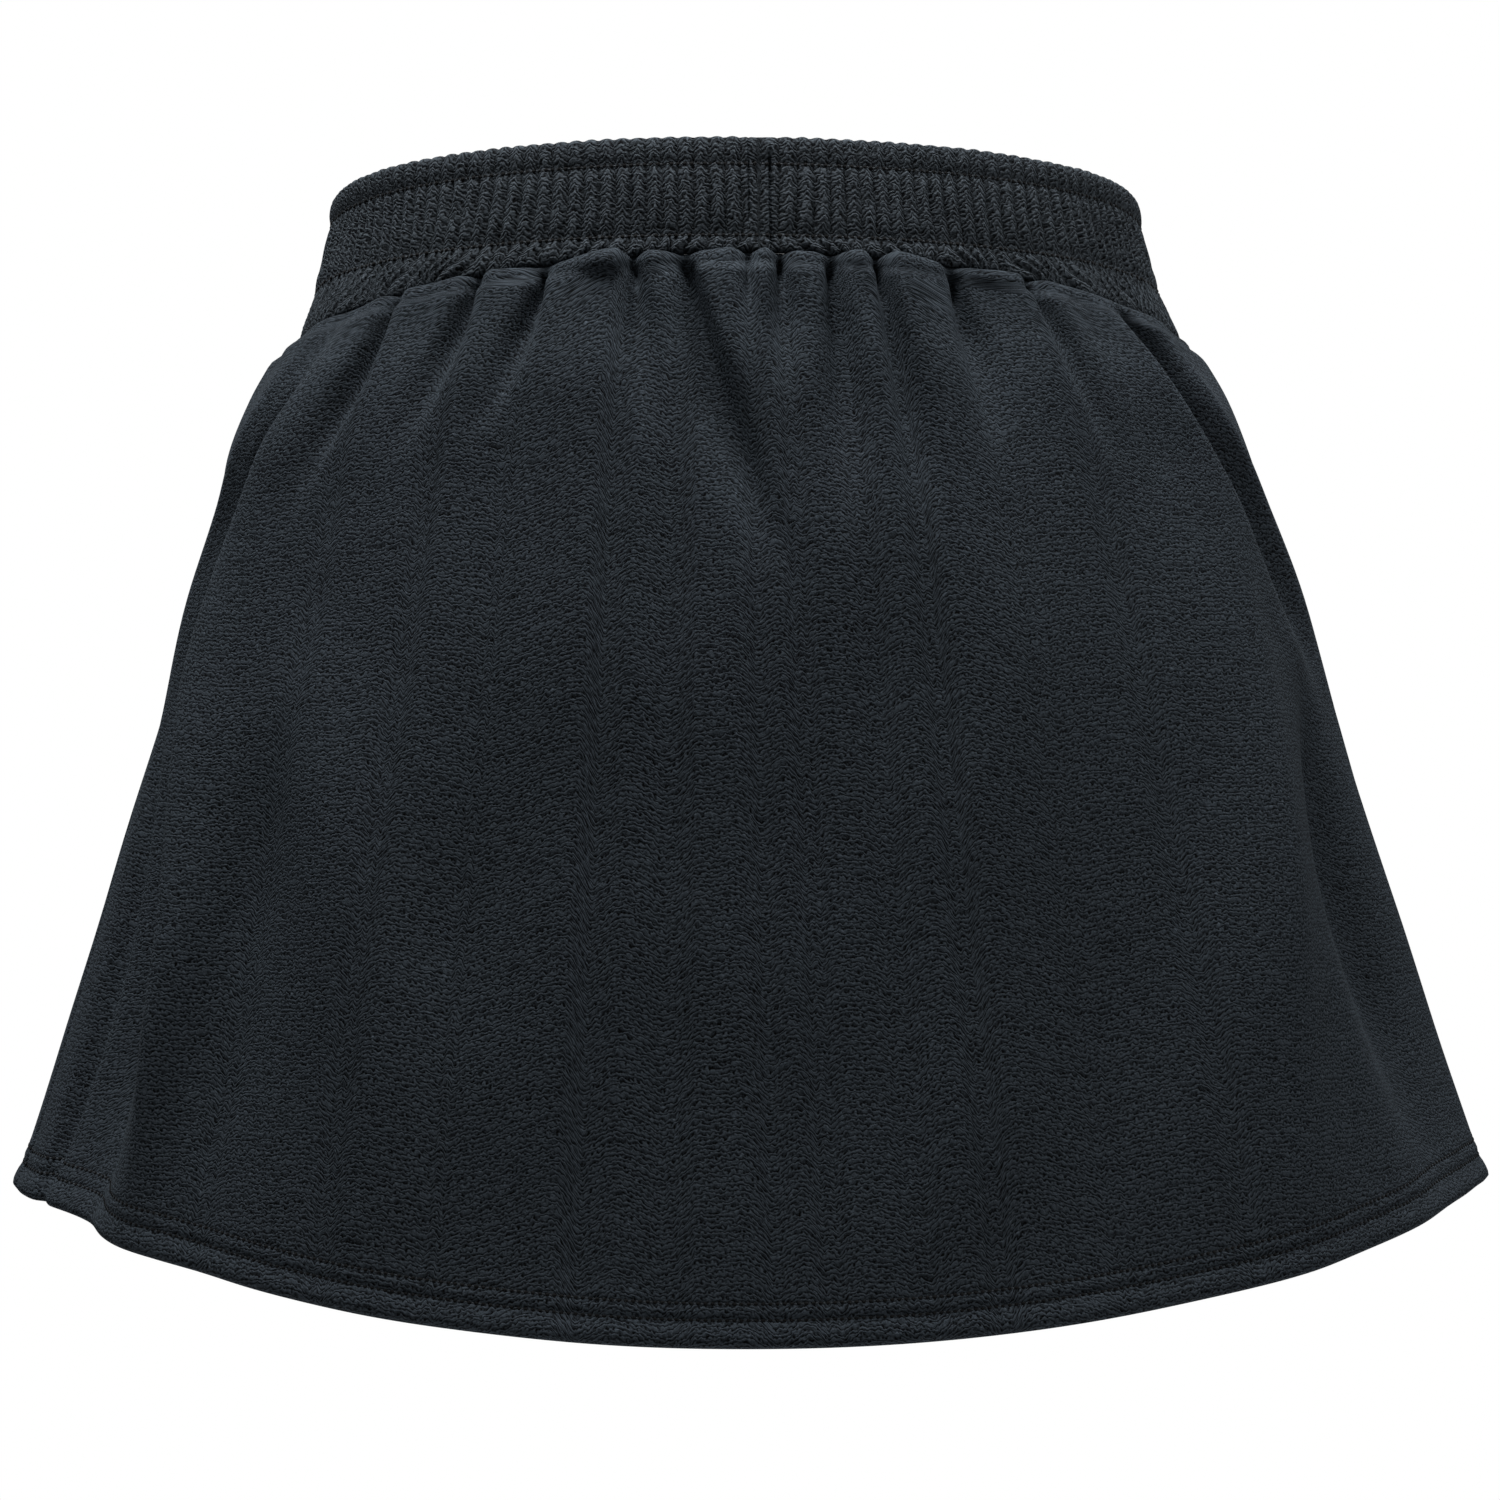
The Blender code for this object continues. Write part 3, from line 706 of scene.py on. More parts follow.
def skirt_lines():
    """Each line of the skirt as a drop and a share of the middle stretch, and its hem row."""
    drops = [ROLL_DROP]
    for reach, step in SKIRT_TOP_LINES:
        count = round((reach - drops[-1]) / step)
        drops.extend(np.linspace(drops[-1], reach, count + 1)[1:])
    top = drops[-1]
    lines = [(ROLL_DROP * number / ROLL_LINES, 0.0, 0.0) for number in range(ROLL_LINES)]
    lines += [(drop, 0.0, 0.0) for drop in drops]
    lines += [(top, share, 0.0) for share in np.linspace(0.0, 1.0, SKIRT_MIDDLE_LINES + 1)[1:]]
    hem_top = HEM_PROFILE[0][0]
    lines += [(top + hem_top - above, 1.0, out) for above, out in HEM_PROFILE[1:]]
    return np.array(lines), top + hem_top


def skirt_columns(start, end, strip):
    """Where the columns between the seams lie at the waist, as shares of the way across."""
    first, last = start + strip[-1], end - strip[-1]
    even = even_bearings(first, last, SKIRT_COLUMNS, COLUMN_HEIGHT)
    slits = []
    for gather in GATHERS:
        bearing = gather[0] + (0.0 if gather[0] > start else FULL_TURN)
        if first < bearing < last:
            slits.extend(bearing + np.array(SLIT_COLUMNS) / degree_length(bearing, SLIT_HEIGHT))
    return (np.sort(np.concatenate([even[1:-1], slits])) - first) / (last - first)


def skirt_bearings(from_seam, to_seam, down):
    """Every line's bearings, closer together at the side seams and at the gathers' slits."""
    half_depth = half_sizes(np.array(from_seam[0]), SKIRT_HEM[1])[1]
    strip = np.degrees(np.array(SEAM_COLUMNS) / half_depth)
    shares = skirt_columns(from_seam[0], to_seam[0], strip)
    start, end = mixed(*from_seam, down)[:, None], mixed(*to_seam, down)[:, None]
    inner = mixed(start + strip[-1], end - strip[-1], shares)
    return np.concatenate([start + strip, inner, end - strip[::-1]], axis=1)


def skirt_panel(name, node, from_seam, to_seam, sizes):
    """A panel of the skirt from one side seam to the other."""
    table, fixed = skirt_lines()
    drop_part, share, hem_out = (column[:, None] for column in table.T)
    nominal = WAIST_SEAM[0] - SKIRT_HEM[0]
    downs = np.clip((table[:, 0] + table[:, 1] * (nominal - fixed)) / nominal, 0.0, 1.0)
    bearing = skirt_bearings(from_seam, to_seam, downs)
    seam = edge_height(bearing, WAIST_SEAM) - SEAM_GAP
    hem = edge_height(bearing, SKIRT_HEM)
    height = seam - drop_part - share * (seam - hem - fixed)
    drop = seam - height
    relief = skirt_relief(bearing, height, drop)

    # The cloth comes out from under the band, rolls forward and up over its lower edge where
    # it puffs, and stays under it in the slits.
    roll = ROLL * roll_height(bearing)
    turn = np.clip(drop / ROLL_DROP, 0.0, 1.0) * math.pi
    rolled = UNDER_BAND + roll * (1.0 - np.cos(turn))
    out = mixed(rolled, relief, eased((drop - 0.6 * ROLL_DROP) / 5.0))
    inner_out = mixed(UNDER_BAND, relief, eased((drop - ROLL_DROP) / 7.0))

    edge_distance = np.minimum(
        np.abs(bearing - bearing[:, :1]), np.abs(bearing[:, -1:] - bearing)
    ) * degree_length(bearing, height)
    dip, dip_width = SIDE_SEAM_DIP
    seam_dip = dip * np.exp(-((edge_distance / dip_width) ** 2))
    thick = mixed(sizes.cloth_thickness, sizes.hem_thickness, share >= 1.0) / MM
    inner = np.minimum(inner_out, out) - thick
    # The folded edge of the hem is round.
    above = height - hem
    inner = inner + (thick - 0.5) * (1.0 - eased(above / 1.2)) * 0.55
    outer_out = out + hem_out - seam_dip
    lift = roll * np.sin(turn)
    outer_points = form_point(bearing, height, outer_out)
    outer_points[..., 2] += lift
    inner = np.minimum(inner, outer_out - EDGE_WALL) - SEAM_TURN_IN * seam_dip
    inner_points = form_point(bearing, height, inner)
    inner_points[..., 2] -= 0.2 * (drop < ROLL_DROP)

    centre = bearing.shape[1] // 2
    cloth = cloth_places(outer_points, centre)
    rise_above_edge = (cloth[-1:, :, 1] - cloth[..., 1]) + 0.0 * height
    piece = closed_shell(
        name,
        np.concatenate([outer_points, inner_points[::-1]]),
        there_and_back(cloth),
        np.zeros(2 * len(height), bool),
        [("above_edge", there_and_back(rise_above_edge))],
    )
    piece.data.materials.append(skirt_knit())
    piece["columns"] = bearing.shape[1]
    finished(piece, [node])
    return piece, cloth


def length(name, description, metres):
    return bpy.props.FloatProperty(
        name=name, description=description, default=metres, unit="LENGTH"
    )


def colour_of(name, description, linear):
    return bpy.props.FloatVectorProperty(
        name=name, description=description, default=linear,
        subtype="COLOR", size=3, min=0.0, max=1.0,
    )


class SkortSizes(bpy.types.PropertyGroup):
    cloth_thickness: length("Cloth", "Thickness of the skirt's knit", 0.0015)
    hem_thickness: length("Hem", "Thickness of the turned hem", 0.0024)
    shorts_thickness: length("Shorts", "Thickness of the shorts' knit", 0.0011)
    rib_count: bpy.props.IntProperty(
        name="Ribs", description="Ribs of the waistband all round", default=148, min=20, max=400
    )
    stitch_pitch: length("Stitch", "Length of one stitch", 0.00212)
    thread_width: length("Thread", "Width of a sewn thread", 0.0008)
    needle_hole: length("Needle hole", "Width of a needle hole", 0.0014)
    course: length("Course", "Spacing of the knit's courses", 0.00145)


class SkortColours(bpy.types.PropertyGroup):
    skirt: colour_of("Skirt", "The skirt's knit", (0.0230, 0.0285, 0.0345))
    band: colour_of("Waistband", "The waistband's knit", (0.0280, 0.0335, 0.0390))
    shorts: colour_of("Shorts", "The inner shorts' knit", (0.0160, 0.0185, 0.0225))
    thread: colour_of("Thread", "The sewing thread", (0.0270, 0.0330, 0.0390))


# ---------------------------------------------------------------- materials


class Nodes:
    """Puts nodes into a tree and links them in one line each."""

    def __init__(self, tree):
        self.tree = tree

    def link(self, output, socket):
        self.tree.links.new(output, socket)

    def add(self, kind, inputs=(), **settings):
        node = self.tree.nodes.new(kind)
        for setting, value in settings.items():
            setattr(node, setting, value)
        for socket, value in dict(inputs).items():
            if isinstance(value, bpy.types.NodeSocket):
                self.link(value, node.inputs[socket])
            else:
                node.inputs[socket].default_value = value
        return node

    def math(self, operation, *values, clamp=False):
        inputs = dict(enumerate(values))
        return self.add("ShaderNodeMath", inputs, operation=operation, use_clamp=clamp).outputs[0]

    def scaled(self, vector, scale):
        inputs = {0: vector, "Scale": scale}
        return self.add("ShaderNodeVectorMath", inputs, operation="SCALE").outputs[0]

    def noise(self, place, scale, detail, roughness=0.5):
        inputs = {"Vector": place, "Scale": scale, "Detail": detail, "Roughness": roughness}
        return self.add("ShaderNodeTexNoise", inputs, noise_dimensions="2D").outputs["Fac"]


def new_material(name):
    """A new material, its nodes and its Principled shader."""
    material = bpy.data.materials.new(name)
    material.use_nodes = True
    return material, Nodes(material.node_tree), material.node_tree.nodes["Principled BSDF"]


def rib_crest(nodes, rib):
    """1 on the top of each rib and 0 between two."""
    return nodes.math("ABSOLUTE", nodes.math("SINE", nodes.math("MULTIPLY", rib, math.pi)))


def knit(name, colour, course, chevrons=0.0, relief=0.00018, patch=0.12):
    """A matt jersey with wavy crosswise courses, which peak on each rib where ribs are given."""
    if name in bpy.data.materials:
        return bpy.data.materials[name]
    material, nodes, shader = new_material(name)
    place = nodes.add("ShaderNodeUVMap", uv_map=CLOTH_MAP).outputs["UV"]
    down = nodes.add("ShaderNodeSeparateXYZ", {0: place}).outputs[1]
    phase = nodes.math("DIVIDE", down, course)
    wander = nodes.noise(place, 0.85 / course, 1.0)
    phase = nodes.math("MULTIPLY_ADD", wander, WANDER, phase)
    phase = nodes.math("MULTIPLY_ADD", nodes.noise(place, 90.0, 1.0), DRIFT, phase)
    painted_rib_shade = 1.0
    if chevrons:
        rib = nodes.add("ShaderNodeAttribute", attribute_name="rib").outputs["Fac"]
        phase = nodes.math("MULTIPLY_ADD", nodes.math("PINGPONG", rib, 0.5), chevrons, phase)
        # Each rib's chevrons start at their own height.
        number = nodes.math("FLOOR", rib)
        own = nodes.add("ShaderNodeTexWhiteNoise", {"W": number}, noise_dimensions="1D")
        phase = nodes.math("ADD", phase, own.outputs["Value"])
        # Painted shade: darker in the valleys between the ribs, lighter on their crests.
        painted_rib_shade = nodes.math("MULTIPLY_ADD", rib_crest(nodes, rib), PAINTED_CREST_SPAN, PAINTED_VALLEY_SHADE)
    wave = nodes.math("SINE", nodes.math("MULTIPLY", phase, 2.0 * math.pi))
    wave = nodes.math("MULTIPLY_ADD", wave, 0.5, 0.5)
    # Loops break each course up along its length.
    loops = nodes.math("SUBTRACT", nodes.noise(place, 1.7 / course, 1.0), 0.5)
    loops = nodes.math("MULTIPLY_ADD", loops, LOOP_CONTRAST, 0.5)
    loops = nodes.math("MULTIPLY", loops, LOOP_PART)
    wave = nodes.math("MULTIPLY_ADD", wave, COURSE_PART, loops)
    bump = nodes.add("ShaderNodeBump", {"Strength": 1.0, "Distance": relief, "Height": wave})
    # Painted shade: the colour is darker where the knit's relief sinks and lighter where it rises.
    shade = nodes.math("MULTIPLY_ADD", wave, PAINTED_SHADE_SPAN, PAINTED_SHADE_LOW)
    shade = nodes.math("MULTIPLY", shade, painted_rib_shade)
    patches = nodes.noise(place, 28.0, 3.0, 0.6)
    shade = nodes.math("MULTIPLY_ADD", patches, 2.0 * patch, nodes.math("SUBTRACT", shade, patch))
    lint = nodes.math("SUBTRACT", nodes.noise(place, 620.0, 0.0), LINT_FROM, clamp=True)
    shade = nodes.math("MULTIPLY_ADD", lint, LINT_GAIN, shade)
    nodes.link(nodes.scaled((*colour,), shade), shader.inputs["Base Color"])
    nodes.link(bump.outputs[0], shader.inputs["Normal"])
    nodes.link(nodes.math("MULTIPLY_ADD", patches, 0.10, 0.82), shader.inputs["Roughness"])
    shader.inputs["Specular IOR Level"].default_value = 0.06
    shader.inputs["Sheen Weight"].default_value = 0.03
    shader.inputs["Sheen Roughness"].default_value = 0.5
    shader.inputs["Sheen Tint"].default_value = (0.6, 0.75, 0.9, 1.0)
    return material


def skirt_knit():
    scene = bpy.context.scene
    return knit("skirt_jersey", scene.skort_colours.skirt, scene.skort_sizes.course)


def waistband_knit():
    scene = bpy.context.scene
    return knit(
        "waistband_jersey", scene.skort_colours.band, 1.25 * scene.skort_sizes.course,
        chevrons=2.6, relief=0.0004, patch=0.16,
    )


def shorts_knit():
    scene = bpy.context.scene
    return knit(
        "shorts_jersey", scene.skort_colours.shorts, 0.6 * scene.skort_sizes.course, relief=0.00008
    )


def thread_finish(name, colour, roughness):
    if name in bpy.data.materials:
        return bpy.data.materials[name]
    material, nodes, shader = new_material(name)
    place = nodes.add("ShaderNodeTexCoord").outputs["Object"]
    fibres = nodes.add("ShaderNodeTexNoise", {"Vector": place, "Scale": 2600.0}).outputs["Fac"]
    tone = nodes.scaled((*colour,), nodes.math("MULTIPLY_ADD", fibres, 0.8, 0.6))
    bump = nodes.add("ShaderNodeBump", {"Strength": 0.6, "Distance": 0.00008, "Height": fibres})
    nodes.link(tone, shader.inputs["Base Color"])
    nodes.link(bump.outputs[0], shader.inputs["Normal"])
    shader.inputs["Roughness"].default_value = roughness
    shader.inputs["Specular IOR Level"].default_value = 0.3
    return material


# ---------------------------------------------------------------- waistband


def new_tree(name, inputs):
    """A Geometry Nodes tree with these inputs: the tree and each input's identifier."""
    tree = bpy.data.node_groups.new(name, "GeometryNodeTree")
    tree.interface.new_socket("Geometry", in_out="INPUT", socket_type="NodeSocketGeometry")
    identifiers = {}
    for label, kind in inputs:
        socket = tree.interface.new_socket(label, in_out="INPUT", socket_type="NodeSocket" + kind)
        identifiers[label] = socket.identifier
    tree.interface.new_socket("Geometry", in_out="OUTPUT", socket_type="NodeSocketGeometry")
    return tree, identifiers


def kept_value(nodes, name, data_type):
    inputs = {"Name": name}
    return nodes.add("GeometryNodeInputNamedAttribute", inputs, data_type=data_type).outputs[0]


def rib_tree():
    """Geometry Nodes that raise round ribs with tight valleys along the kept values."""
    tree, identifiers = new_tree("ribs", (("Rib Depth", "Float"), ("Cloth", "Material")))
    nodes = Nodes(tree)
    given = nodes.add("NodeGroupInput").outputs
    reach = kept_value(nodes, "rib_reach", "FLOAT")
    crest = rib_crest(nodes, kept_value(nodes, "rib", "FLOAT"))
    crest = nodes.math("SUBTRACT", nodes.math("POWER", crest, 0.72), 0.6)
    rise = nodes.math("MULTIPLY", nodes.math("MULTIPLY", crest, reach), given["Rib Depth"])
    offset = nodes.scaled(kept_value(nodes, "rib_direction", "FLOAT_VECTOR"), rise)
    moved = {"Geometry": given["Geometry"], "Offset": offset}
    moved = nodes.add("GeometryNodeSetPosition", moved).outputs[0]
    whole = nodes.add("GeometryNodeRealizeInstances", {0: moved}).outputs[0]
    clothed = {"Geometry": whole, "Material": given["Cloth"]}
    clothed = nodes.add("GeometryNodeSetMaterial", clothed).outputs[0]
    nodes.add("NodeGroupOutput", {0: clothed})
    return tree, identifiers


def waistband_columns(rib_count):
    """The band's bearings from the centre back round to it again, closer at the grooves."""
    columns = rib_count * RIB_COLUMNS
    even = even_bearings(CENTRE_BACK, CENTRE_BACK + FULL_TURN, columns, 0.0)
    extra = [
        bearing + offset / degree_length(bearing, 0.0) + FULL_TURN * (bearing < CENTRE_BACK)
        for bearing, *_ in JOIN_GROOVES
        for offset in GROOVE_COLUMNS
    ]
    return np.sort(np.concatenate([even, extra]))


def read(table, column, at):
    """A column of a table, in straight steps along its first column."""
    rows = np.array(table)
    return np.interp(at, rows[:, 0], rows[:, column])


def band_lines():
    """The band's lines, down its outer face and back up its inner one, and its sewn rows.

    Each line has a drop, its share of the stretch below the lower stitches, how far it stands
    out, the depth of its ribs in tenths, the turn of its surface (0 outwards, 90 up and 180
    inwards) and whether it is on the outer face."""
    half = BAND_THICKNESS / 2.0
    upper, lower = BAND_STITCHES

    def rolled(turn, facing, outer):
        return (half * (1.0 - math.sin(math.radians(turn))), 0.0, 0.0, PLAIN_RIBS, facing, outer)

    lines = [rolled(turn, turn, True) for turn in BAND_ROLL_TURNS]
    spans = ((BAND_PROFILE[0][0], upper), (upper, lower))
    drops = np.concatenate([np.arange(*ends, BAND_LINE_STEP) for ends in spans])
    for drop in drops:
        out, depth = read(BAND_PROFILE, 1, drop), read(BAND_PROFILE, 2, drop)
        lines.append((drop, 0.0, out, depth, 0.0, True))
    upper_row = len(BAND_ROLL_TURNS) + int(np.searchsorted(drops, upper))
    lower_row = len(lines)
    for share in np.linspace(0.0, 1.0, BAND_LOWER_LINES):
        out, depth = read(BAND_LOWER_PROFILE, 1, share), read(BAND_LOWER_PROFILE, 2, share)
        lines.append((lower, share, out, depth, 0.0, True))
    for share in np.linspace(1.0, 0.0, BAND_INSIDE_LINES):
        lines.append((half + share * (lower - half), share, 0.0, PLAIN_RIBS, 180.0, False))
    lines += [rolled(turn, 180.0 - turn, False) for turn in BAND_ROLL_TURNS[:0:-1]]
    return lines, upper_row, lower_row


def join_grooves(bearings, down):
    """How deep the grooves beside the centre-back join are."""
    total = 0.0
    for bearing, first, last, deep, wide in JOIN_GROOVES:
        away = turned(bearings - bearing) * degree_length(bearing, 0.0)
        held = eased((down - first) / GROOVE_END) * (1.0 - eased((down - last) / GROOVE_END))
        total = total + deep * held * hump(away, wide, wide)
    return total


def waistband(sizes):
    """The elastic band: ribs, a rolled header, two sewn rows and a crumpled lower edge."""
    bearings = waistband_columns(sizes.rib_count)
    top = edge_height(bearings, TOP_EDGE)
    tall = top - edge_height(bearings, WAIST_SEAM)
    place = run_along(form_point(bearings, 0.0 * bearings))
    ahead, aside = np.sin(np.radians(bearings)), np.cos(np.radians(bearings))
    lean_way = np.where(aside > 0.0, 1.0, -1.0) * np.where(ahead > 0.0, -1.0, 1.0)
    most_lean = mixed(*CRUMPLE_LEAN, eased((1.0 - np.abs(ahead)) * 1.3))
    from_join = np.abs(turned(bearings - CENTRE_BACK)) * JOIN_DEGREE
    beside_join = eased((from_join - JOIN_HALF_WIDTH) / JOIN_HALF_WIDTH)
    below_stitches = tall - BAND_STITCHES[1]
    lines, upper_row, lower_row = band_lines()
    points, ribs, reaches, directions, cloth = [], [], [], [], []
    for drop, share, out, depth, turn, outer in lines:
        down = drop + share * below_stitches
        angle = math.radians(turn)
        crumple = eased(share / 0.9) if outer else 0.0
        loose = BAND_UNEVEN * unevenness(SEED + 2, (place, down), 0.03, 0.12)
        wobble = RIB_WOBBLE * unevenness(SEED + 3, (place, down), 0.02, 0.10)
        tangle = CRUMPLE_WOBBLE * unevenness(SEED + 4, (place, down), 0.05, 0.3)
        wobble = wobble + crumple * tangle
        leaned = place - lean_way * crumple * most_lean
        uneven = 1.0 + RIB_UNEVEN * unevenness(SEED + 5, (place, down), 0.05, 0.5)
        reach = 0.1 * depth * uneven * mixed(JOIN_RIBS, 1.0, beside_join)
        out = out + BAND_THICKNESS / 2.0 * (math.cos(angle) - 1.0) + loose
        if outer:
            out = out - join_grooves(bearings, down)
        points.append(form_point(bearings, top - down, out))
        level = outwards(bearings, top - down)
        directions.append(level * math.cos(angle) + np.array([0.0, 0.0, math.sin(angle)]))
        ribs.append(leaned / place[-1] * sizes.rib_count + wobble + (0.0 if outer else 0.5))
        reaches.append(reach * MM * (1.0 if outer else INSIDE_RIBS))
        cloth.append(np.stack([place, (down if outer else -down) + 0.0 * place], -1) * MM)
    piece = closed_shell(
        "ribbed_waistband",
        np.stack(points),
        np.stack(cloth),
        np.ones(len(points), bool),
        [
            ("rib", np.stack(ribs)),
            ("rib_reach", np.stack(reaches)),
            ("rib_direction", np.stack(directions)),
        ],
    )
    tree, inputs = rib_tree()
    raise_ribs = piece.modifiers.new("ribs", "NODES")
    raise_ribs.node_group = tree
    raise_ribs[inputs["Rib Depth"]] = 1.0
    raise_ribs[inputs["Cloth"]] = waistband_knit()
    as_plain_mesh(piece)
    piece["columns"] = len(bearings) - 1
    piece["upper_row"], piece["lower_row"] = upper_row, lower_row
    return finished(piece, ["waistband"])


# ---------------------------------------------------------------- shorts


def shorts_row(turn, height):
    """A line of the right half's body, from the centre front round the side to the back."""
    side = along(SHORTS_FORM, SIDE, height)
    depth = np.where(
        np.cos(turn) > 0.0,
        along(SHORTS_FORM, SHORTS_FRONT, height),
        along(SHORTS_FORM, SHORTS_BACK, height),
    )
    return np.stack(
        [CENTRE_SEAM_GAP + side * np.sin(turn), depth * np.cos(turn), height + 0.0 * turn], axis=-1
    )


def leg_row(turn, height, taper):
    """A line of the right leg, closed at the inside of the thigh."""
    half_width = LEG_HALF[0] * taper
    return np.stack(
        [
            LEGS_APART + half_width * (1.0 - np.cos(2.0 * turn)),
            LEG_FORWARD + LEG_HALF[1] * taper * np.sin(2.0 * turn),
            height + 0.0 * turn,
        ],
        axis=-1,
    )


def line_normals(lines):
    """Level directions out of a stack of lines that run clockwise seen from above."""
    ahead = np.gradient(lines, axis=1)
    normal = np.stack([-ahead[..., 1], ahead[..., 0], 0.0 * ahead[..., 0]], axis=-1)
    return normal / np.maximum(np.linalg.norm(normal, axis=-1, keepdims=True), 1e-9)


def shorts_half(name, side, sizes):
    """Half of the inner shorts, on the right (1) or the left (-1): half the body and a leg."""
    turn = np.linspace(0.0, math.pi, SHORTS_COLUMNS + 1)
    bearings = LEFT_SIDE / 2.0 - side * np.degrees(turn)
    seam = edge_height(bearings, WAIST_SEAM)
    top = form_point(bearings, seam, -SHORTS_INSIDE) * (side, 1.0, 1.0)
    top[:, 2] -= SHORTS_BELOW
    top[:, 0] = np.maximum(top[:, 0], CENTRE_SEAM_GAP)
    second = shorts_row(turn, SHORTS_TOP_ROW)
    shares = np.arange(SHORTS_TOP_LINES) / SHORTS_TOP_LINES
    lines = [mixed(top, second, share) for share in shares]
    for height in np.linspace(SHORTS_TOP_ROW, CROTCH, SHORTS_BODY_LINES, endpoint=False):
        blend = eased((height - CROTCH_BLEND[0]) / (CROTCH_BLEND[1] - CROTCH_BLEND[0]))
        lines.append(mixed(shorts_row(turn, height), leg_row(turn, height, 1.0), blend))
    body_lines = len(lines)
    legs = np.concatenate(
        [
            np.linspace(CROTCH, LEG_HEM + LEG_HEM_DEPTH, LEG_LINES, endpoint=False),
            np.linspace(LEG_HEM + LEG_HEM_DEPTH, LEG_HEM, int(LEG_HEM_DEPTH) + 1),
        ]
    )
    for height in legs:
        share = (height - CROTCH) / (LEG_HEM - CROTCH)
        lines.append(leg_row(turn, height, mixed(1.0, LEG_TAPER, share)))
    lines = np.stack(lines)
    normal = -line_normals(lines)
    above = lines[..., 2] - LEG_HEM
    waves = unevenness(SEED + 6 + side, (lines[..., 0], lines[..., 2]), 0.03, 0.09)
    dip, dip_width = LEG_STITCH_DIP
    rows = sum(hump(above - row, dip_width, dip_width) for row in LEG_STITCHES)
    inside = -SHORTS_SET_IN - SHORTS_UNEVEN * waves - dip * rows
    inside = inside - 0.35 * (1.0 - eased(above / 1.5))
    ends = eased(np.minimum(turn, math.pi - turn) / SHORTS_SEAM_EASE)
    outer = lines + normal * (inside * ends)[..., None]
    thick = sizes.shorts_thickness / MM * (1.0 + LEG_HEM_THICKER * (above < LEG_HEM_DEPTH))
    inner = lines - normal * thick[..., None]
    if side < 0:
        outer, inner = outer * (side, 1.0, 1.0), inner * (side, 1.0, 1.0)
    else:
        outer, inner = outer[:, ::-1], inner[:, ::-1]
    closed = np.arange(len(outer)) >= body_lines
    cloth = cloth_places(outer, outer.shape[1] // 2)
    piece = closed_shell(
        name,
        np.concatenate([outer, inner[::-1]]),
        there_and_back(cloth),
        there_and_back(closed),
    )
    piece.data.materials.append(shorts_knit())
    node = "shorts_right" if side > 0 else "shorts_left"
    finished(piece, [node])
    return piece, cloth


# ---------------------------------------------------------------- stitches


def stitch_tree():
    """Geometry Nodes that lay a short thread on each point and put a near-black bead after it,
    painted shade at the needle hole.
    """
    inputs = (
        ("Pitch", "Float"),
        ("Thread Width", "Float"),
        ("Needle Hole", "Float"),
        ("Thread", "Material"),
        ("Hole", "Material"),
    )
    tree, identifiers = new_tree("stitches", inputs)
    nodes = Nodes(tree)
    given = nodes.add("NodeGroupInput").outputs
    ahead, outward = (kept_value(nodes, name, "FLOAT_VECTOR") for name in ("ahead", "outward"))
    align = "FunctionNodeAlignRotationToVector"
    facing = nodes.add(align, {"Vector": ahead}, axis="X").outputs[0]
    facing = {"Rotation": facing, "Vector": outward}
    facing = nodes.add(align, facing, axis="Z", pivot_axis="X").outputs[0]
    bead = {"Segments": 8, "Rings": 4, "Radius": 0.5}
    bead = nodes.add("GeometryNodeMeshUVSphere", bead).outputs[0]
    bead = nodes.add("GeometryNodeSetShadeSmooth", {0: bead}).outputs[0]

    def laid(points, long, wide, material):
        size = (long, wide, nodes.math("MULTIPLY", wide, STITCH_FLATNESS))
        scale = nodes.add("ShaderNodeCombineXYZ", dict(enumerate(size))).outputs[0]
        shapes = {"Points": points, "Instance": bead, "Rotation": facing, "Scale": scale}
        shapes = nodes.add("GeometryNodeInstanceOnPoints", shapes).outputs[0]
        shapes = nodes.add("GeometryNodeRealizeInstances", {0: shapes}).outputs[0]
        shapes = {"Geometry": shapes, "Material": material}
        return nodes.add("GeometryNodeSetMaterial", shapes).outputs[0]

    pitch, hole = given["Pitch"], given["Needle Hole"]
    shown = nodes.math("MULTIPLY", pitch, THREAD_SHOWS)
    threads = laid(given["Geometry"], shown, given["Thread Width"], given["Thread"])
    half_pitch = nodes.scaled(ahead, nodes.math("MULTIPLY", pitch, 0.5))
    between = {"Geometry": given["Geometry"], "Offset": half_pitch}
    between = nodes.add("GeometryNodeSetPosition", between).outputs[0]
    # Near-black beads between the threads: painted shade at each needle hole.
    hole_shades = laid(between, hole, hole, given["Hole"])
    joined = nodes.add("GeometryNodeJoinGeometry")
    for part in (threads, hole_shades):
        nodes.link(part, joined.inputs[0])
    nodes.add("NodeGroupOutput", {0: joined.outputs[0]})
    return tree, identifiers


def sewn_line(piece, line, closed, pitch):
    """Points a stitch apart along one line of a piece, with their directions."""
    columns = piece["columns"]
    chosen = slice(line * columns, (line + 1) * columns)
    points, normals = (
        np.array([getattr(vertex, name) for vertex in piece.data.vertices[chosen]])
        for name in ("co", "normal")
    )
    if closed:
        points, normals = np.vstack([points, points[:1]]), np.vstack([normals, normals[:1]])
    run = run_along(points)

    def at(values, places):
        return np.stack([np.interp(places, run, value) for value in values.T], axis=-1)

    stops = np.arange(0.5 * pitch, run[-1] - 0.5 * pitch, pitch)
    ahead = at(points, stops + 0.45 * pitch) - at(points, stops - 0.45 * pitch)
    ahead /= np.linalg.norm(ahead, axis=1, keepdims=True)
    return at(points, stops), ahead, at(normals, stops)


